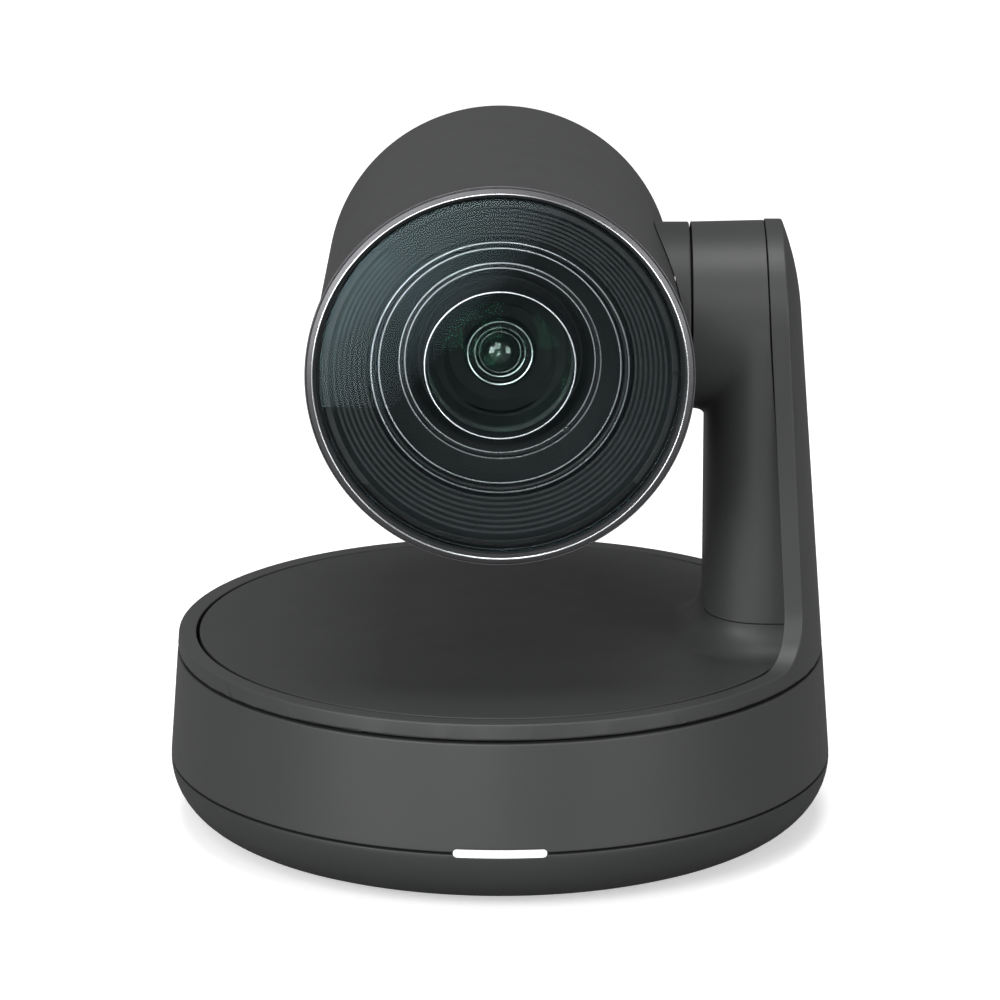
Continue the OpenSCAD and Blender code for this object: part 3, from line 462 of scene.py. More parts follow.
def soften(piece, width, segments=3, merge=0.05 * MM):
    """Rounds every sharp edge of a piece that was cut."""
    take(piece)
    bpy.ops.object.mode_set(mode="EDIT")
    bpy.ops.mesh.select_all(action="SELECT")
    bpy.ops.mesh.remove_doubles(threshold=merge)
    bpy.ops.object.mode_set(mode="OBJECT")
    modifier = piece.modifiers.new("edges", "BEVEL")
    modifier.width = width
    modifier.segments = segments
    modifier.limit_method = "ANGLE"
    modifier.angle_limit = SHARP
    modifier.use_clamp_overlap = False
    modifier.miter_outer = "MITER_ARC"
    bpy.ops.object.modifier_apply(modifier=modifier.name)
    return piece


def finish(piece, material, body, *nodes, slot="charcoal_plastic", angle=SHARP, weighted=False):
    """Shades a piece, gives it its finish and puts it in place of its CAD nodes."""
    take(piece)
    bpy.ops.object.shade_smooth_by_angle(angle=angle)
    if weighted:
        modifier = piece.modifiers.new("normals", "WEIGHTED_NORMAL")
        modifier.keep_sharp = True
        bpy.ops.object.modifier_apply(modifier=modifier.name)
    piece.data.materials.clear()
    piece.data.materials.append(material)
    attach(piece, body)
    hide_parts(*nodes)
    return piece


def paint(piece, material, test):
    """Gives the faces whose centre and normal pass the test another material: a real finish, or a painted shade.
    """
    piece.data.materials.append(material)
    index = len(piece.data.materials) - 1
    for face in piece.data.polygons:
        if test(face.center, face.normal):
            face.material_index = index


# ---------------------------------------------------------------- base

LIGHT_DEPTH = 5 * MM
LIGHT_INSET = 0.1 * MM
BAY_EDGE = 1.6 * MM
LOCK_W, LOCK_H, LOCK_Z = 7 * MM, 3 * MM, 23.5 * MM
LOCK_TURN = radians(-55)


def led_slot(clear):
    """The outline of the status light's slot, in X and Z, grown by the clearance."""
    wide = (high("led_light_bar").x - low("led_light_bar").x) / 2 + clear
    tall = (high("led_light_bar").z - low("led_light_bar").z) / 2 + clear
    end = 0.98 * tall
    return rounded_box(-wide, seam_z - tall, wide, seam_z + tall, end)


def slot_tool(clear, depth):
    """A solid that cuts the status light's slot into the front wall."""
    outline = [Vector((x, -base_r - MM, z)) for x, z in led_slot(clear)]
    return prism("slot_tool", outline, Vector((0, depth + MM, 0)))


def make_bottom_pan():
    """The rounded lower shell, with its groove for the foot ring."""
    top = seam_z - SEAM / 2
    curve = [radians(-90 + 90 * k / 14) for k in range(14)]
    centre_r = base_r - pan_edge_r
    outer = [(centre_r + pan_edge_r * cos(a), seam_z + pan_edge_r * sin(a)) for a in curve]
    inner_r = pan_edge_r - WALL
    inner = [(centre_r + inner_r * cos(a), seam_z + inner_r * sin(a)) for a in curve]
    bore = 5.5 * MM
    groove_in, groove_out = foot_r - foot_w - FIT, foot_r + FIT
    outline = (
        [(bore, floor_z), (groove_in, floor_z), (groove_in, foot_top)]
        + [(groove_out, foot_top), (groove_out, floor_z)]
        + outer
        + [(base_r - 0.02 * MM, top - 0.35 * MM), (base_r - 0.14 * MM, top - 0.1 * MM), (base_r - 0.4 * MM, top)]
        + [(base_r - WALL, top)]
        + inner[::-1]
        + [(bore, floor_z + WALL)]
    )
    pan = turned("pan_shell", outline)
    combine(pan, slot_tool(FIT, LIGHT_DEPTH + MM))
    # The darker charcoal paints shade on the pan, which faces the floor.
    return finish(pan, shaded_charcoal, "base", "bottom_pan", weighted=True)


def make_base_housing():
    """The fixed side wall, with the light's slot in front and the port bay at the back."""
    bottom = seam_z + SEAM / 2
    outline = rounded([
        (outer_r(bottom) - WALL, bottom, 0),
        (outer_r(bottom), bottom, 0.3 * MM),
        (outer_r(seam_z + 1.6 * MM), seam_z + 1.6 * MM, 0),
        (outer_r(housing_top), housing_top, 0.45 * MM),
        (outer_r(housing_top) - WALL, housing_top, 0),
    ])
    housing = turned("side_wall", outline)
    combine(housing, slot_tool(FIT, LIGHT_DEPTH + MM))
    bay_low, bay_high = low("port_panel"), high("port_panel")
    frame_w = 2 * MM
    y_back = bay_low.y - frame_w
    lump = block("bay_lump", (bay_low.x - frame_w, y_back, bay_low.z - frame_w),
                 (bay_high.x + frame_w, base_r + MM, bay_high.z + frame_w))
    under = 0.05 * MM
    limit = turned("bay_limit", [
        (0, bottom), (outer_r(bottom) - under, bottom),
        (outer_r(housing_top) - under, housing_top), (0, housing_top),
    ])
    combine(lump, limit, "INTERSECT")
    combine(housing, lump, "UNION")
    hole = rounded_box(bay_low.x - FIT, bay_low.z - FIT, bay_high.x + FIT, bay_high.z + FIT, BAY_EDGE)
    behind = [Vector((x, bay_low.y - 5 * MM, z)) for x, z in hole]
    combine(housing, prism("bay_tool", behind, Vector((0, base_r, 0))))
    lock = rounded_box(-LOCK_W / 2, LOCK_Z - LOCK_H / 2, LOCK_W / 2, LOCK_Z + LOCK_H / 2, MM)
    turn = Matrix.Rotation(LOCK_TURN, 3, "Z")
    inside = [turn @ Vector((x, base_r - 6 * MM, z)) for x, z in lock]
    combine(housing, prism("lock_tool", inside, turn @ Vector((0, 9 * MM, 0))))
    soften(housing, 0.22 * MM, segments=2)
    return finish(housing, charcoal, "base", "base_housing", weighted=True)


def make_status_light():
    """The light bar in its slot, following the wall's curve."""
    outline = [Vector((x, -base_r - MM, z)) for x, z in led_slot(0)]
    bar = prism("light_bar", outline, Vector((0, LIGHT_DEPTH, 0)))
    face, back, half = base_r - LIGHT_INSET, base_r - LIGHT_INSET - 4 * MM, 3 * MM
    limit = turned("bar_limit", [(back, seam_z - half), (face, seam_z - half),
                                 (face, seam_z + half), (back, seam_z + half)])
    combine(bar, limit, "INTERSECT")
    soften(bar, 0.15 * MM, segments=2, merge=0.01 * MM)
    return finish(bar, status_glow, "base", "led_light_bar", slot="status_light")


def make_foot_ring():
    """The rubber ring under the base, with two shallow grooves."""
    inner = foot_r - foot_w
    groove = 0.35 * MM
    foot_bottom = low("foot_ring").z
    corners = [(inner, foot_top, 0), (inner, foot_bottom, 0.8 * MM)]
    for k in (1, 2):
        middle = inner + foot_w * k / 3
        for side, rise in ((-0.5 * MM, 0), (-0.2 * MM, groove), (0.2 * MM, groove), (0.5 * MM, 0)):
            corners.append((middle + side, foot_bottom + rise, 0.1 * MM))
    corners += [(foot_r, foot_bottom, 0.8 * MM), (foot_r, foot_top, 0)]
    return finish(turned("foot_tread", rounded(corners)), rubber, "base", "foot_ring", slot="foot_rubber")


# ---------------------------------------------------------------- turntable and arm

RIM_LEDGE = 1.6 * MM
DECK_SEAM = 0.25 * MM
HUB_REACH = 0.25 * MM
LIP_IN, LIP_OUT, LIP_H = 17 * MM, 19.6 * MM, 0.3 * MM
BLEND_VOXEL = 0.62 * MM
BLEND_PASSES = 60


def skin_curve(inset):
    """The arm's outer surface where it leans in, as (radius, height), shrunk by the inset."""
    rise = [lean_z + k * (skin_top - lean_z) / 16 for k in range(17)]
    return [(lean_r(z) - inset, z) for z in rise]


def arm_side():
    """The arm's outline seen along X: a filleted foot, a tapering side and half of the round top."""
    foot_z = rim_top + ARM_FILLET
    rise = tilt_z - foot_z
    touch = acos(arch_r / sqrt(ARM_FOOT_Y**2 + rise**2)) - atan2(rise, ARM_FOOT_Y)
    foot = [radians(90 * k / 16) for k in range(17)]
    top = [touch + (pi / 2 - touch) * k / 24 for k in range(25)]
    return (
        [(ARM_FOOT_Y + ARM_FILLET, rim_top - 2 * MM)]
        + [(ARM_FOOT_Y + ARM_FILLET * (1 - sin(a)), foot_z - ARM_FILLET * cos(a)) for a in foot]
        + [(arch_r * cos(a), tilt_z + arch_r * sin(a)) for a in top]
    )


def make_rim():
    """The turntable's rim and the arm's outer skin, one continuous shell."""
    ledge = rim_low + RIM_LEDGE
    corners = [(deck_r - MM, rim_low, 0), (skirt_r, rim_low, 0), (skirt_r, rim_z, 0),
               (outer_r(rim_z), rim_z, 0.4 * MM)]
    corners += [(r, z, 0) for r, z in skin_curve(0) + skin_curve(SKIN)[::-1]]
    corners += [(outer_r(ledge) - SKIN, ledge, 0), (deck_r - MM, ledge, 0)]
    rim = turned("rim_and_arm", rounded(corners))
    side = arm_side()
    whole = side + [(-y, z) for y, z in side[-2::-1]]
    region = prism("arm_region", [Vector((0, y, z)) for y, z in whole], Vector((base_r + 5 * MM, 0, 0)))
    beyond = base_r + 3 * MM
    slab = turned("rim_region", [(0, rim_low - MM), (beyond, rim_low - MM), (beyond, rim_top), (0, rim_top)],
                  steps=32)
    combine(region, slab, "UNION")
    combine(rim, region, "INTERSECT")
    soften(rim, 0.4 * MM, segments=3, merge=0.3 * MM)
    finish(rim, charcoal, "pan", "rim_shell", weighted=True)
    near = 0.05 * MM
    # Painted shade: the skirt behind the gap under the rim is made deep black, to darken the seam line.
    paint(rim, deep_black, lambda c, n: c.z < rim_z + 0.02 * MM and sqrt(c.x**2 + c.y**2) < skirt_r + near)
    return rim


def column_ring(grow, z, x_end):
    """The column's plan at a height, grown outwards: a round nose towards the head and straight sides."""
    corner = COLUMN_CORNER + grow
    half = COLUMN_Y + grow
    return [
        Vector((x, y, z))
        for x, y in rounded([
            (x_end, half, 0),
            (nose_x - grow, half, corner),
            (nose_x - grow, -half, corner),
            (x_end, -half, 0),
        ])
    ]


def bridged(name, rings):
    """A solid through closed rings of points, from the first to the last."""
    parts = []
    for k, ring in enumerate(rings):
        parts.append(draw(name + str(k), ring))
        bpy.ops.object.mode_set(mode="OBJECT")
    take(parts[0])
    for part in parts[1:]:
        part.select_set(True)
    bpy.ops.object.join()
    piece = bpy.context.object
    piece.name = name
    bpy.ops.object.mode_set(mode="EDIT")
    bpy.ops.mesh.select_all(action="SELECT")
    bpy.ops.mesh.bridge_edge_loops()
    bpy.ops.mesh.select_all(action="DESELECT")
    bpy.ops.mesh.select_non_manifold()
    bpy.ops.mesh.edge_face_add()
    close_up()
    return piece


def make_deck():
    """The deck inside the rim, swept up to the column in a concave curve."""
    sweep = column_seam_z - rim_top
    thick = 2 * MM
    edge = deck_r - DECK_SEAM
    outline = rounded([
        (0, rim_top - thick, 0),
        (edge, rim_top - thick, 0),
        (edge, rim_top, 0.25 * MM),
        (0, rim_top, 0),
    ])
    deck = turned("deck", outline)
    steps = [radians(90 * k / 14) for k in range(1, 15)]
    rings = [column_ring(sweep + 0.5 * MM, rim_top - 0.8 * MM, base_r),
             column_ring(sweep, rim_top - 0.004 * MM, base_r)]
    rings += [column_ring(sweep * (1 - sin(a)), column_seam_z - sweep * cos(a), base_r) for a in steps]
    boss = bridged("deck_boss", rings)
    limit = turned("boss_limit", [(0, rim_top - 1.5 * MM), (edge - 0.05 * MM, rim_top - 1.5 * MM),
                                  (edge - 0.4 * MM, column_seam_z + MM), (0, column_seam_z + MM)])
    combine(boss, limit, "INTERSECT")
    combine(deck, boss, "UNION")
    hollow = prism("deck_hollow", column_ring(-2 * MM, rim_top - 5 * MM, base_r), Vector((0, 0, 20 * MM)))
    combine(deck, hollow)
    # The darker charcoal paints shade on the deck.
    return finish(deck, shaded_charcoal, "pan", "deck_panel", angle=radians(38), weighted=True)


def make_arm_cover():
    """The arm's inner cover: the column blended into the round hub."""
    spare = 8 * MM
    foot = column_seam_z + SEAM / 2
    column = prism("arm_cover", column_ring(0, foot - spare, base_r), Vector((0, 0, tilt_z - foot + spare)))
    hub = turned("hub_start", [(0, hub_x - spare), (hub_r - 0.3 * MM, hub_x - spare),
                               (hub_r + 0.6 * MM, base_r), (0, base_r)], axis=TILT, steps=256)
    combine(column, hub, "UNION")
    take(column)
    remesh = column.modifiers.new("even", "REMESH")
    remesh.mode = "VOXEL"
    remesh.voxel_size = BLEND_VOXEL
    bpy.ops.object.modifier_apply(modifier=remesh.name)
    smooth = column.modifiers.new("blend", "SMOOTH")
    smooth.factor = 0.5
    smooth.iterations = BLEND_PASSES
    bpy.ops.object.modifier_apply(modifier=smooth.name)
    far = base_r + 20 * MM
    face = hub_x - HUB_REACH
    combine(column, block("hub_tool", (hub_x - 30 * MM, -far, 0), (face, far, 2 * tilt_z)))
    combine(column, block("foot_tool", (-far, -far, 0), (far, far, foot)))
    edge = hub_r - 0.45 * MM
    past = edge + 1.4 * MM
    chamfer = [(edge, face - 0.2 * MM), (past, face - 0.2 * MM), (past, face + MM), (edge + 0.2 * MM, face)]
    combine(column, turned("edge_tool", chamfer, axis=TILT))
    lip = [(LIP_IN, face + MM), (LIP_IN, face - LIP_H), (LIP_OUT, face - LIP_H), (LIP_OUT, face + MM)]
    combine(column, turned("hub_lip", lip, axis=TILT), "UNION")
    gap = SKIN + 0.3 * MM
    inside = [(0, rim_top), (outer_r(rim_top) - gap, rim_top)] + skin_curve(gap) + [(0, skin_top)]
    combine(column, turned("skin_inside", inside), "INTERSECT")
    finish(column, charcoal, "pan", "arm_inner_cover", angle=radians(40))
    # Painted shade: the hub's end face and its lip, in the gap to the collar, are made deep black.
    paint(column, deep_black, lambda c, n: c.x < face + 0.02 * MM)
    return column


# ---------------------------------------------------------------- head

CAP_WIDTH, CAP_DEPTH = 0.85, 0.95
SHAFT_BORE = 6.1 * MM
SADDLE_GAP = 0.22 * MM
HOOD_RIBS = 7
FUNNEL_R = 22 * MM
PEG_R, PEG_AT = 21.4 * MM, radians(-47)


def head_curve(inset, start=0.0):
    """The head's outline from the middle of its back to its front, as (radius, forward distance)."""
    turn = [radians(90 * k / 28) for k in range(1, 29)]
    length = head_end - HEAD_BACK
    back = [
        ((HEAD_BACK_R - inset) * sin(a) ** CAP_WIDTH, -HEAD_BACK - (length - inset) * cos(a) ** CAP_DEPTH)
        for a in turn
    ]
    return [(start, -head_end + inset)] + back + [(head_r - inset, head_front)]


def clipped(curve, lowest, highest):
    """The stretch of an outline between two distances along its axis, with points exactly at the ends."""
    def at(f):
        for (r0, f0), (r1, f1) in zip(curve, curve[1:]):
            if f0 <= f <= f1 and f1 > f0:
                return (r0 + (r1 - r0) * (f - f0) / (f1 - f0), f)
        return curve[-1] if f > curve[-1][1] else curve[0]

    inside = [p for p in curve if lowest < p[1] < highest]
    return [at(lowest)] + inside + [at(highest)]


def make_head():
    """The head's main shell and its rear cover."""
    lip, ease = 0.3 * MM, 0.02 * MM
    outer = clipped(head_curve(0), -HEAD_SPLIT + SEAM / 2, head_front)
    inner = clipped(head_curve(HEAD_WALL), -HEAD_SPLIT + SEAM / 2, head_front)
    first, last = outer[0], outer[-1]
    outer = [(first[0] - lip, first[1]), (first[0] - ease, first[1] + lip)] + outer[1:-1]
    outer += [(last[0] - ease, last[1] - lip), (last[0] - lip, last[1])]
    shell = turned("head_barrel", outer + inner[::-1], axis=LENS)
    hole_r = collar_r - 4 * MM
    hole = [(0, 0), (hole_r, 0), (hole_r, base_r), (0, base_r)]
    combine(shell, turned("collar_hole", hole, axis=TILT, steps=96))
    finish(shell, charcoal, "head", "head_housing")

    outer = clipped(head_curve(0), -head_end, -HEAD_SPLIT - SEAM / 2)
    inner = clipped(head_curve(HEAD_WALL), -head_end + HEAD_WALL, -HEAD_SPLIT - SEAM / 2)
    last = outer[-1]
    outer = outer[:-1] + [(last[0] - 0.06 * MM, last[1] - lip), (last[0] - lip - 0.06 * MM, last[1])]
    tongue_r = inner[-1][0] - 1.4 * MM
    tongue_out, tongue_end = tongue_r + 1.2 * MM, last[1] + 3 * MM
    tongue = [(tongue_out, last[1]), (tongue_out, tongue_end), (tongue_r, tongue_end), (tongue_r, last[1] - MM)]
    cap = turned("rear_cap", outer + tongue + inner[:-2][::-1], axis=LENS)
    return finish(cap, charcoal, "head", "head_rear_cover")


def make_collar():
    """The collar between the head and the arm, saddle-cut where it meets the head."""
    wall = HEAD_WALL
    start = 20 * MM
    outline = rounded([
        (collar_r, start, 0),
        (collar_r, collar_x, 0.4 * MM),
        (SHAFT_BORE, collar_x, 0),
        (SHAFT_BORE, collar_x - wall, 0),
        (collar_r - wall, collar_x - wall, 0),
        (collar_r - wall, start, 0),
    ])
    collar = turned("collar", outline, axis=TILT, steps=160)
    body = turned("head_solid", head_curve(-SADDLE_GAP) + [(0, head_front)], axis=LENS, steps=160)
    combine(collar, body)
    # The darker charcoal paints the shade that the head casts on the collar.
    finish(collar, shaded_charcoal, "head", "tilt_collar", weighted=True)
    # Painted shade: the collar's end face in the gap to the hub is made deep black.
    paint(collar, deep_black, lambda c, n: n.x > 0.95 and c.x > collar_x - 0.05 * MM)
    return collar


def radius_of(centre):
    """Distance from the lens axis."""
    return sqrt(centre.x**2 + (centre.z - tilt_z) ** 2)


def paint_ring(piece, material, inner, outer):
    """Gives the forward faces between two radii another material: a real finish, or on the hood a painted shade.
    """
    paint(piece, material, lambda c, n: inner < radius_of(c) < outer and n.y < -0.25)


def make_bezel():
    """The gunmetal ring round the glass: a thin outer lip, a grained band and a polished inner edge."""
    bead_r = bezel_r - 1.65 * MM
    slope = 0.5
    band_in = bead_r + 0.2 * MM
    band_out = bezel_r - 0.5 * MM
    band_f = bezel_front - slope * (band_out - band_in)
    corners = [
        (glass_r + 0.2 * MM, bezel_back, 0),
        (bezel_r - 0.6 * MM, bezel_back, 0.2 * MM),
        (bezel_r, bezel_front - 2.0 * MM, 0.4 * MM),
        (bezel_r, band_f - 0.3 * MM, 0.12 * MM),
        (bezel_r - 0.26 * MM, band_f - 0.25 * MM, 0.08 * MM),
        (bezel_r - 0.34 * MM, band_f - 0.55 * MM, 0.05 * MM),
        (band_out + 0.02 * MM, band_f - 0.5 * MM, 0.05 * MM),
        (band_out, band_f, 0.06 * MM),
        (band_in, bezel_front - 0.05 * MM, 0.03 * MM),
        (band_in - 0.04 * MM, bezel_front - 0.16 * MM, 0),
        (bead_r + 0.14 * MM, bezel_front - 0.06 * MM, 0),
        (bead_r + 0.04 * MM, bezel_front - 0.01 * MM, 0),
        (bead_r - 0.08 * MM, bezel_front - 0.05 * MM, 0),
        (bead_r - 0.16 * MM, bezel_front - 0.16 * MM, 0),
        (bead_r - 0.22 * MM, bezel_front - 0.7 * MM, 0.05 * MM),
        (bead_r - 0.55 * MM, bezel_front - 0.75 * MM, 0.08 * MM),
        (glass_r + 0.42 * MM, bezel_front - 1.0 * MM, 0.12 * MM),
        (glass_r + 0.2 * MM, bezel_front - 1.8 * MM, 0.05 * MM),
    ]
    bezel = turned("bezel", rounded(corners), axis=LENS, steps=256)
    finish(bezel, bezel_metal, "head", "bezel_ring", slot="bezel_metal", angle=radians(24))
    paint_ring(bezel, cut_edge, bead_r - 0.17 * MM, bead_r + 0.15 * MM)
    paint_ring(bezel, ring_black, 0, bead_r - 0.2 * MM)
    return bezel


def make_glass():
    """The flat cover glass, with ground edges."""
    corners = [(0, glass_back, 0), (glass_r, glass_back, 0.2 * MM), (glass_r, glass_front, 0.2 * MM),
               (0, glass_front, 0)]
    glass = turned("window", rounded(corners), axis=LENS, steps=128)
    return finish(glass, cover_coating, "head", "cover_glass", slot="clear_glass")


def make_hood():
    """The ribbed cone behind the glass."""
    step = (HOOD_FRONT_R - HOOD_BACK_R) / HOOD_RIBS
    drop = (hood_front - hood_back) / HOOD_RIBS
    shade_r = HOOD_FRONT_R + 1.7 * MM
    corners = [(hood_r, glass_back, 0), (shade_r, glass_back, 0),
               (HOOD_FRONT_R + 0.45 * MM, glass_back, 0.12 * MM)]
    for k in range(HOOD_RIBS):
        r, f = HOOD_FRONT_R - k * step, hood_front - k * drop
        corners += [(r, f, 0.08 * MM), (r - 0.48 * step, f - drop, 0.06 * MM)]
    corners += [
        (HOOD_BACK_R, hood_back, 0.15 * MM),
        (HOOD_BACK_R, ring_back, 0),
        (HOOD_BACK_R + 2 * MM, ring_back, 0),
        (HOOD_BACK_R + 2 * MM, hood_back - 1.5 * MM, 0),
        (hood_r, hood_front - 4 * MM, 0),
    ]
    hood = turned("hood", rounded(corners), axis=LENS, steps=256)
    finish(hood, hood_black, "head", "lens_hood", slot="lens_black", angle=radians(24))
    # Painted shade: the outer flat under the bezel's lip is made a deeper black.
    paint_ring(hood, deep_black, shade_r, base_r)
    return hood


def make_front_ring():
    """The lens's front ring: two bright lips with a groove between them, a grained funnel and a locating peg."""
    lip = HOOD_BACK_R - 1.25 * MM
    edge = HOOD_BACK_R - 3.04 * MM
    outer = HOOD_BACK_R - 0.2 * MM
    funnel = FUNNEL_R
    bore = lens_r + 1.9 * MM
    corners = [
        (outer, ring_back, 0),
        (outer, hood_back - 1.2 * MM, 0.2 * MM),
        (lip + 0.3 * MM, hood_back - 0.6 * MM, 0.1 * MM),
        (lip + 0.2 * MM, hood_back + 0.6 * MM, 0.05 * MM),
        (lip - 0.1 * MM, hood_back + 0.62 * MM, 0.05 * MM),
        (lip - 0.25 * MM, hood_back - 0.8 * MM, 0.1 * MM),
        (lip - 0.75 * MM, hood_back - 0.9 * MM, 0.05 * MM),
        (lip - 0.95 * MM, hood_back - 2.2 * MM, 0.1 * MM),
        (edge + 0.45 * MM, hood_back - 2.4 * MM, 0.1 * MM),
        (edge + 0.3 * MM, hood_back - MM, 0.05 * MM),
        (edge, hood_back - MM, 0.05 * MM),
        (edge - 0.4 * MM, hood_back - 1.7 * MM, 0.1 * MM),
        (funnel + 0.3 * MM, hood_back - 5.55 * MM, 0.05 * MM),
        (funnel, hood_back - 5.5 * MM, 0.05 * MM),
        (funnel - 0.2 * MM, hood_back - 6.9 * MM, 0.1 * MM),
        (funnel - 0.8 * MM, hood_back - 6.9 * MM, 0.1 * MM),
        (funnel - 0.95 * MM, hood_back - 6.0 * MM, 0.05 * MM),
        (funnel - 1.2 * MM, hood_back - 6.0 * MM, 0.05 * MM),
        (funnel - 2.5 * MM, hood_back - 7.1 * MM, 1.0 * MM),
        (bore, ring_back + 0.1 * MM, 0.2 * MM),
        (bore, ring_back, 0),
    ]
    ring = turned("front_ring", rounded(corners), axis=LENS, steps=256)
    centre = Vector((PEG_R * cos(PEG_AT), -hood_back + 7.5 * MM, tilt_z + PEG_R * sin(PEG_AT)))
    turn = [2 * pi * k / 24 for k in range(24)]
    circle = [centre + 0.85 * MM * Vector((cos(a), 0, sin(a))) for a in turn]
    peg = prism("peg", circle, Vector((0, -2.2 * MM, 0)))
    soften(peg, 0.2 * MM, segments=2)
    combine(ring, peg, "UNION")
    finish(ring, ring_black, "head", "lens_front_ring", slot="lens_black", angle=radians(24))
    bright = ((lip - 0.12 * MM, 0.34 * MM), (edge - 0.02 * MM, 0.34 * MM),
              (funnel - 0.02 * MM, 0.3 * MM), (funnel - 1.22 * MM, 0.3 * MM))
    for inner, wide in bright:
        paint_ring(ring, worn_edge, inner, inner + wide)
    return ring


def make_lens_ring():
    """The ring that holds the front lens, with a polished front edge."""
    back, front = -high("lens_retaining_ring").y, -low("lens_retaining_ring").y
    outer = high("lens_retaining_ring").x
    inner = lens_r + FIT
    stop = lens_r - 1.2 * MM
    corners = [
        (stop, back, 0),
        (outer, back, 0),
        (outer, ring_back + 0.2 * MM, 1.5 * MM),
        (inner + 0.5 * MM, ring_back + 1.7 * MM, 1.2 * MM),
        (inner + 0.34 * MM, front, 0.06 * MM),
        (inner + 0.04 * MM, front, 0.06 * MM),
        (inner, front - 0.5 * MM, 0),
        (inner, back + 0.85 * MM, 0),
        (stop, back + 0.85 * MM, 0),
    ]
    ring = turned("lens_ring", rounded(corners), axis=LENS, steps=224)
    finish(ring, ring_black, "head", "lens_retaining_ring", slot="lens_black", angle=radians(24))
    paint_ring(ring, cut_edge, inner + 0.02 * MM, inner + 0.36 * MM)
    return ring


def make_front_lens():
    """The domed front element, hollow at its back."""
    node_low, node_high = low("front_lens"), high("front_lens")
    apex, back = -node_low.y, -node_high.y
    dome = 4.6 * MM
    cap = (lens_r**2 + dome**2) / (2 * dome)
    hollow = 17 * MM
    hollow_apex = apex - 3 * MM
    hollow_edge = sqrt(hollow**2 - (back - hollow_apex + hollow) ** 2)
    span = asin(lens_r / cap)
    front = [(cap * sin(span * k / 24), apex - cap + cap * cos(span * k / 24)) for k in range(25)]
    reach = asin(hollow_edge / hollow)
    rear = [
        (hollow * sin(reach * k / 20), hollow_apex - hollow + hollow * cos(reach * k / 20)) for k in range(21)
    ]
    outline = front + [(lens_r, back)] + rear[::-1]
    lens = turned("front_element", outline, axis=LENS, steps=128)
    return finish(lens, front_glass, "head", "front_lens", slot="coated_lens", angle=radians(30))


def make_lens_cell():
    """The black cell behind the front lens, with two polished rings round the pupil."""
    back, front = -high("lens_cell").y, -low("lens_cell").y
    wall = high("lens_cell").x
    pupil = PUPIL_R
    corners = [
        (pupil - 1.9 * MM, back, 0),
        (wall, back, 0),
        (wall, front, 0.2 * MM),
        (14.4 * MM, front, 0.2 * MM),
        (12.4 * MM, front - 2.6 * MM, 0.2 * MM),
        (pupil + 1.2 * MM, front - 3.2 * MM, 0.3 * MM),
        (pupil + 0.35 * MM, front - 1.2 * MM, 0.1 * MM),
        (pupil + 0.12 * MM, front - 1.0 * MM, 0.04 * MM),
        (pupil - 0.12 * MM, front - 1.1 * MM, 0.04 * MM),
        (pupil - 0.5 * MM, front - 2.0 * MM, 0.08 * MM),
        (pupil - 0.9 * MM, front - 2.0 * MM, 0.05 * MM),
        (pupil - 1.2 * MM, front - 2.5 * MM, 0.08 * MM),
        (pupil - 1.45 * MM, front - 2.5 * MM, 0.04 * MM),
        (pupil - 1.7 * MM, front - 2.7 * MM, 0.04 * MM),
        (pupil - 1.9 * MM, front - 3.6 * MM, 0.1 * MM),
    ]
    cell = turned("pupil_cell", rounded(corners), axis=LENS, steps=192)
    finish(cell, deep_black, "head", "lens_cell", slot="lens_black", angle=radians(24))
    paint_ring(cell, cut_edge, pupil - 0.16 * MM, pupil + 0.16 * MM)
    paint_ring(cell, cut_edge, pupil - 1.72 * MM, pupil - 1.44 * MM)
    return cell


def make_second_lens():
    """The second element, seen through the pupil."""
    dome = 6 * MM
    pupil = PUPIL_R - 1.95 * MM
    front = -low("lens_cell").y - 3.4 * MM
    span = asin(pupil / dome)
    cap = [(dome * sin(span * k / 16), front + dome * (cos(span * k / 16) - cos(span))) for k in range(17)]
    outline = cap + [(pupil, front - 2 * MM), (0, front - 2 * MM)]
    lens = turned("second_element", outline, axis=LENS, steps=96)
    return finish(lens, inner_glass, "head", "second_lens", slot="coated_lens", angle=radians(30))


# ---------------------------------------------------------------- build

make_bottom_pan()
make_base_housing()
make_status_light()
make_foot_ring()
make_rim()
make_deck()
make_arm_cover()
make_head()
make_collar()
make_bezel()
make_glass()
make_hood()
make_front_ring()
make_lens_ring()
make_front_lens()
make_lens_cell()
make_second_lens()

# ---------------------------------------------------------------- floor and light

BOX_SIZE, BOX_AWAY = 0.9, 1.7
GLOW_WIDE, GLOW_DEEP, GLOW_SHIFT = 0.18, 0.075, 0.028
GLOW_LOW, GLOW_HIGH = Vector((-0.0124, -0.45, 0.0031)), Vector((0.0231, -0.45, 0.0447))


def studio_floor():
    """A pale floor that shows white and throws only a soft light back up at the camera body."""
    material, tree, output = new_material("pale_floor")
    seen = tree.nodes.new("ShaderNodeBsdfDiffuse")
    seen.inputs["Color"].default_value = (0.9, 0.9, 0.9, 1)
    shine = tree.nodes.new("ShaderNodeEmission")
    shine.inputs["Strength"].default_value = 0.45
    bright = tree.nodes.new("ShaderNodeAddShader")
    tree.links.new(seen.outputs["BSDF"], bright.inputs[0])
    tree.links.new(shine.outputs["Emission"], bright.inputs[1])
    bounce = tree.nodes.new("ShaderNodeBsdfDiffuse")
    bounce.inputs["Color"].default_value = (0.25, 0.25, 0.25, 1)
    path = tree.nodes.new("ShaderNodeLightPath")
    mix = tree.nodes.new("ShaderNodeMixShader")
    tree.links.new(path.outputs["Is Camera Ray"], mix.inputs["Fac"])
    tree.links.new(bounce.outputs["BSDF"], mix.inputs[1])
    tree.links.new(bright.outputs["Shader"], mix.inputs[2])
    tree.links.new(mix.outputs["Shader"], output.inputs["Surface"])
    return material


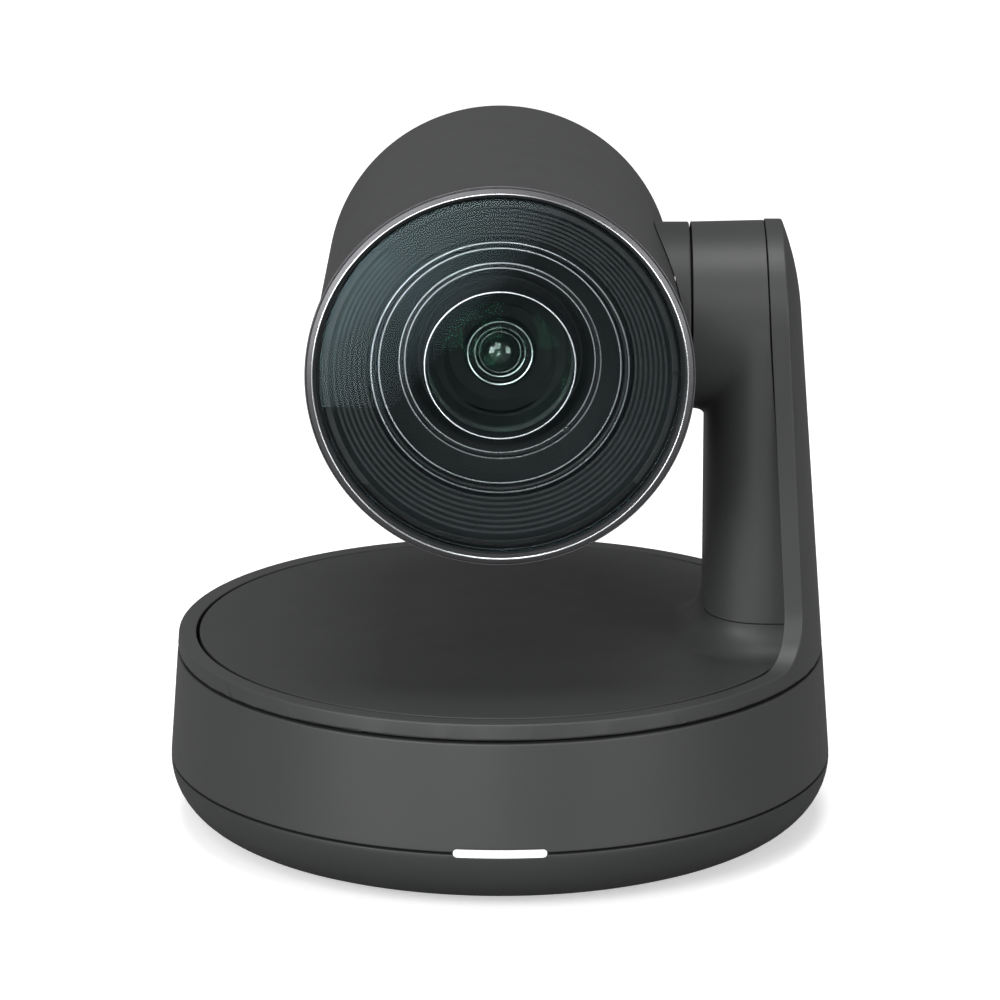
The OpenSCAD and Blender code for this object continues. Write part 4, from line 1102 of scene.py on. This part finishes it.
def softbox(name, around, up, power):
    """A square area lamp aimed at the middle of the camera body, placed by its angles in degrees."""
    target = Vector((0, 0, 0.09))
    side, rise = radians(around), radians(up)
    place = target + BOX_AWAY * Vector((sin(side) * cos(rise), -cos(side) * cos(rise), sin(rise)))
    bpy.ops.object.light_add(type="AREA", location=place)
    lamp = bpy.context.object
    lamp.name = name
    lamp.data.shape = "SQUARE"
    lamp.data.size = BOX_SIZE
    lamp.data.energy = power
    lamp.visible_camera = False
    lamp.rotation_euler = (target - place).to_track_quat("-Z", "Y").to_euler()
    return lamp


bpy.ops.object.select_all(action="DESELECT")
bpy.ops.mesh.primitive_plane_add(size=12)
floor = bpy.context.object
floor.name = "floor"
floor.data.materials.append(studio_floor())

softbox("left_low", -45, 12, 20.5)
softbox("right_low", 45, 12, 14.5)
softbox("front_high", -15, 35, 11)
softbox("overhead", 0, 85, 18.5)


def window_glow():
    """A small graded panel, low in front, that the flat cover glass mirrors in its upper left half."""
    along = (GLOW_HIGH - GLOW_LOW).normalized()
    outward = Vector((-along.z, 0, along.x))
    middle = (GLOW_LOW + GLOW_HIGH) / 2 + outward * (GLOW_DEEP / 2 + GLOW_SHIFT)
    bpy.ops.object.light_add(type="AREA", location=middle)
    lamp = bpy.context.object
    lamp.name = "window_glow"
    lamp.data.shape = "RECTANGLE"
    lamp.data.size, lamp.data.size_y = GLOW_WIDE, GLOW_DEEP
    lamp.data.energy = 0.3
    lamp.visible_camera = False
    lamp.visible_diffuse = False
    turn = Matrix((along, outward, along.cross(outward))).transposed()
    lamp.rotation_euler = turn.to_euler()
    lamp.data.use_nodes = True
    tree = lamp.data.node_tree
    place = tree.nodes.new("ShaderNodeNewGeometry")
    split = tree.nodes.new("ShaderNodeSeparateXYZ")
    grade = tree.nodes.new("ShaderNodeMapRange")
    grade.inputs["To Min"].default_value = 0.12
    grade.inputs["To Max"].default_value = 2.2
    tree.links.new(place.outputs["Parametric"], split.inputs["Vector"])
    tree.links.new(split.outputs["Y"], grade.inputs["Value"])
    tree.links.new(grade.outputs["Result"], tree.nodes["Emission"].inputs["Strength"])
    return lamp


window_glow()

world = bpy.data.worlds.new("studio")
bpy.context.scene.world = world
world.use_nodes = True
world.node_tree.nodes["Background"].inputs["Color"].default_value = (1, 1, 1, 1)
world.node_tree.nodes["Background"].inputs["Strength"].default_value = 0.24
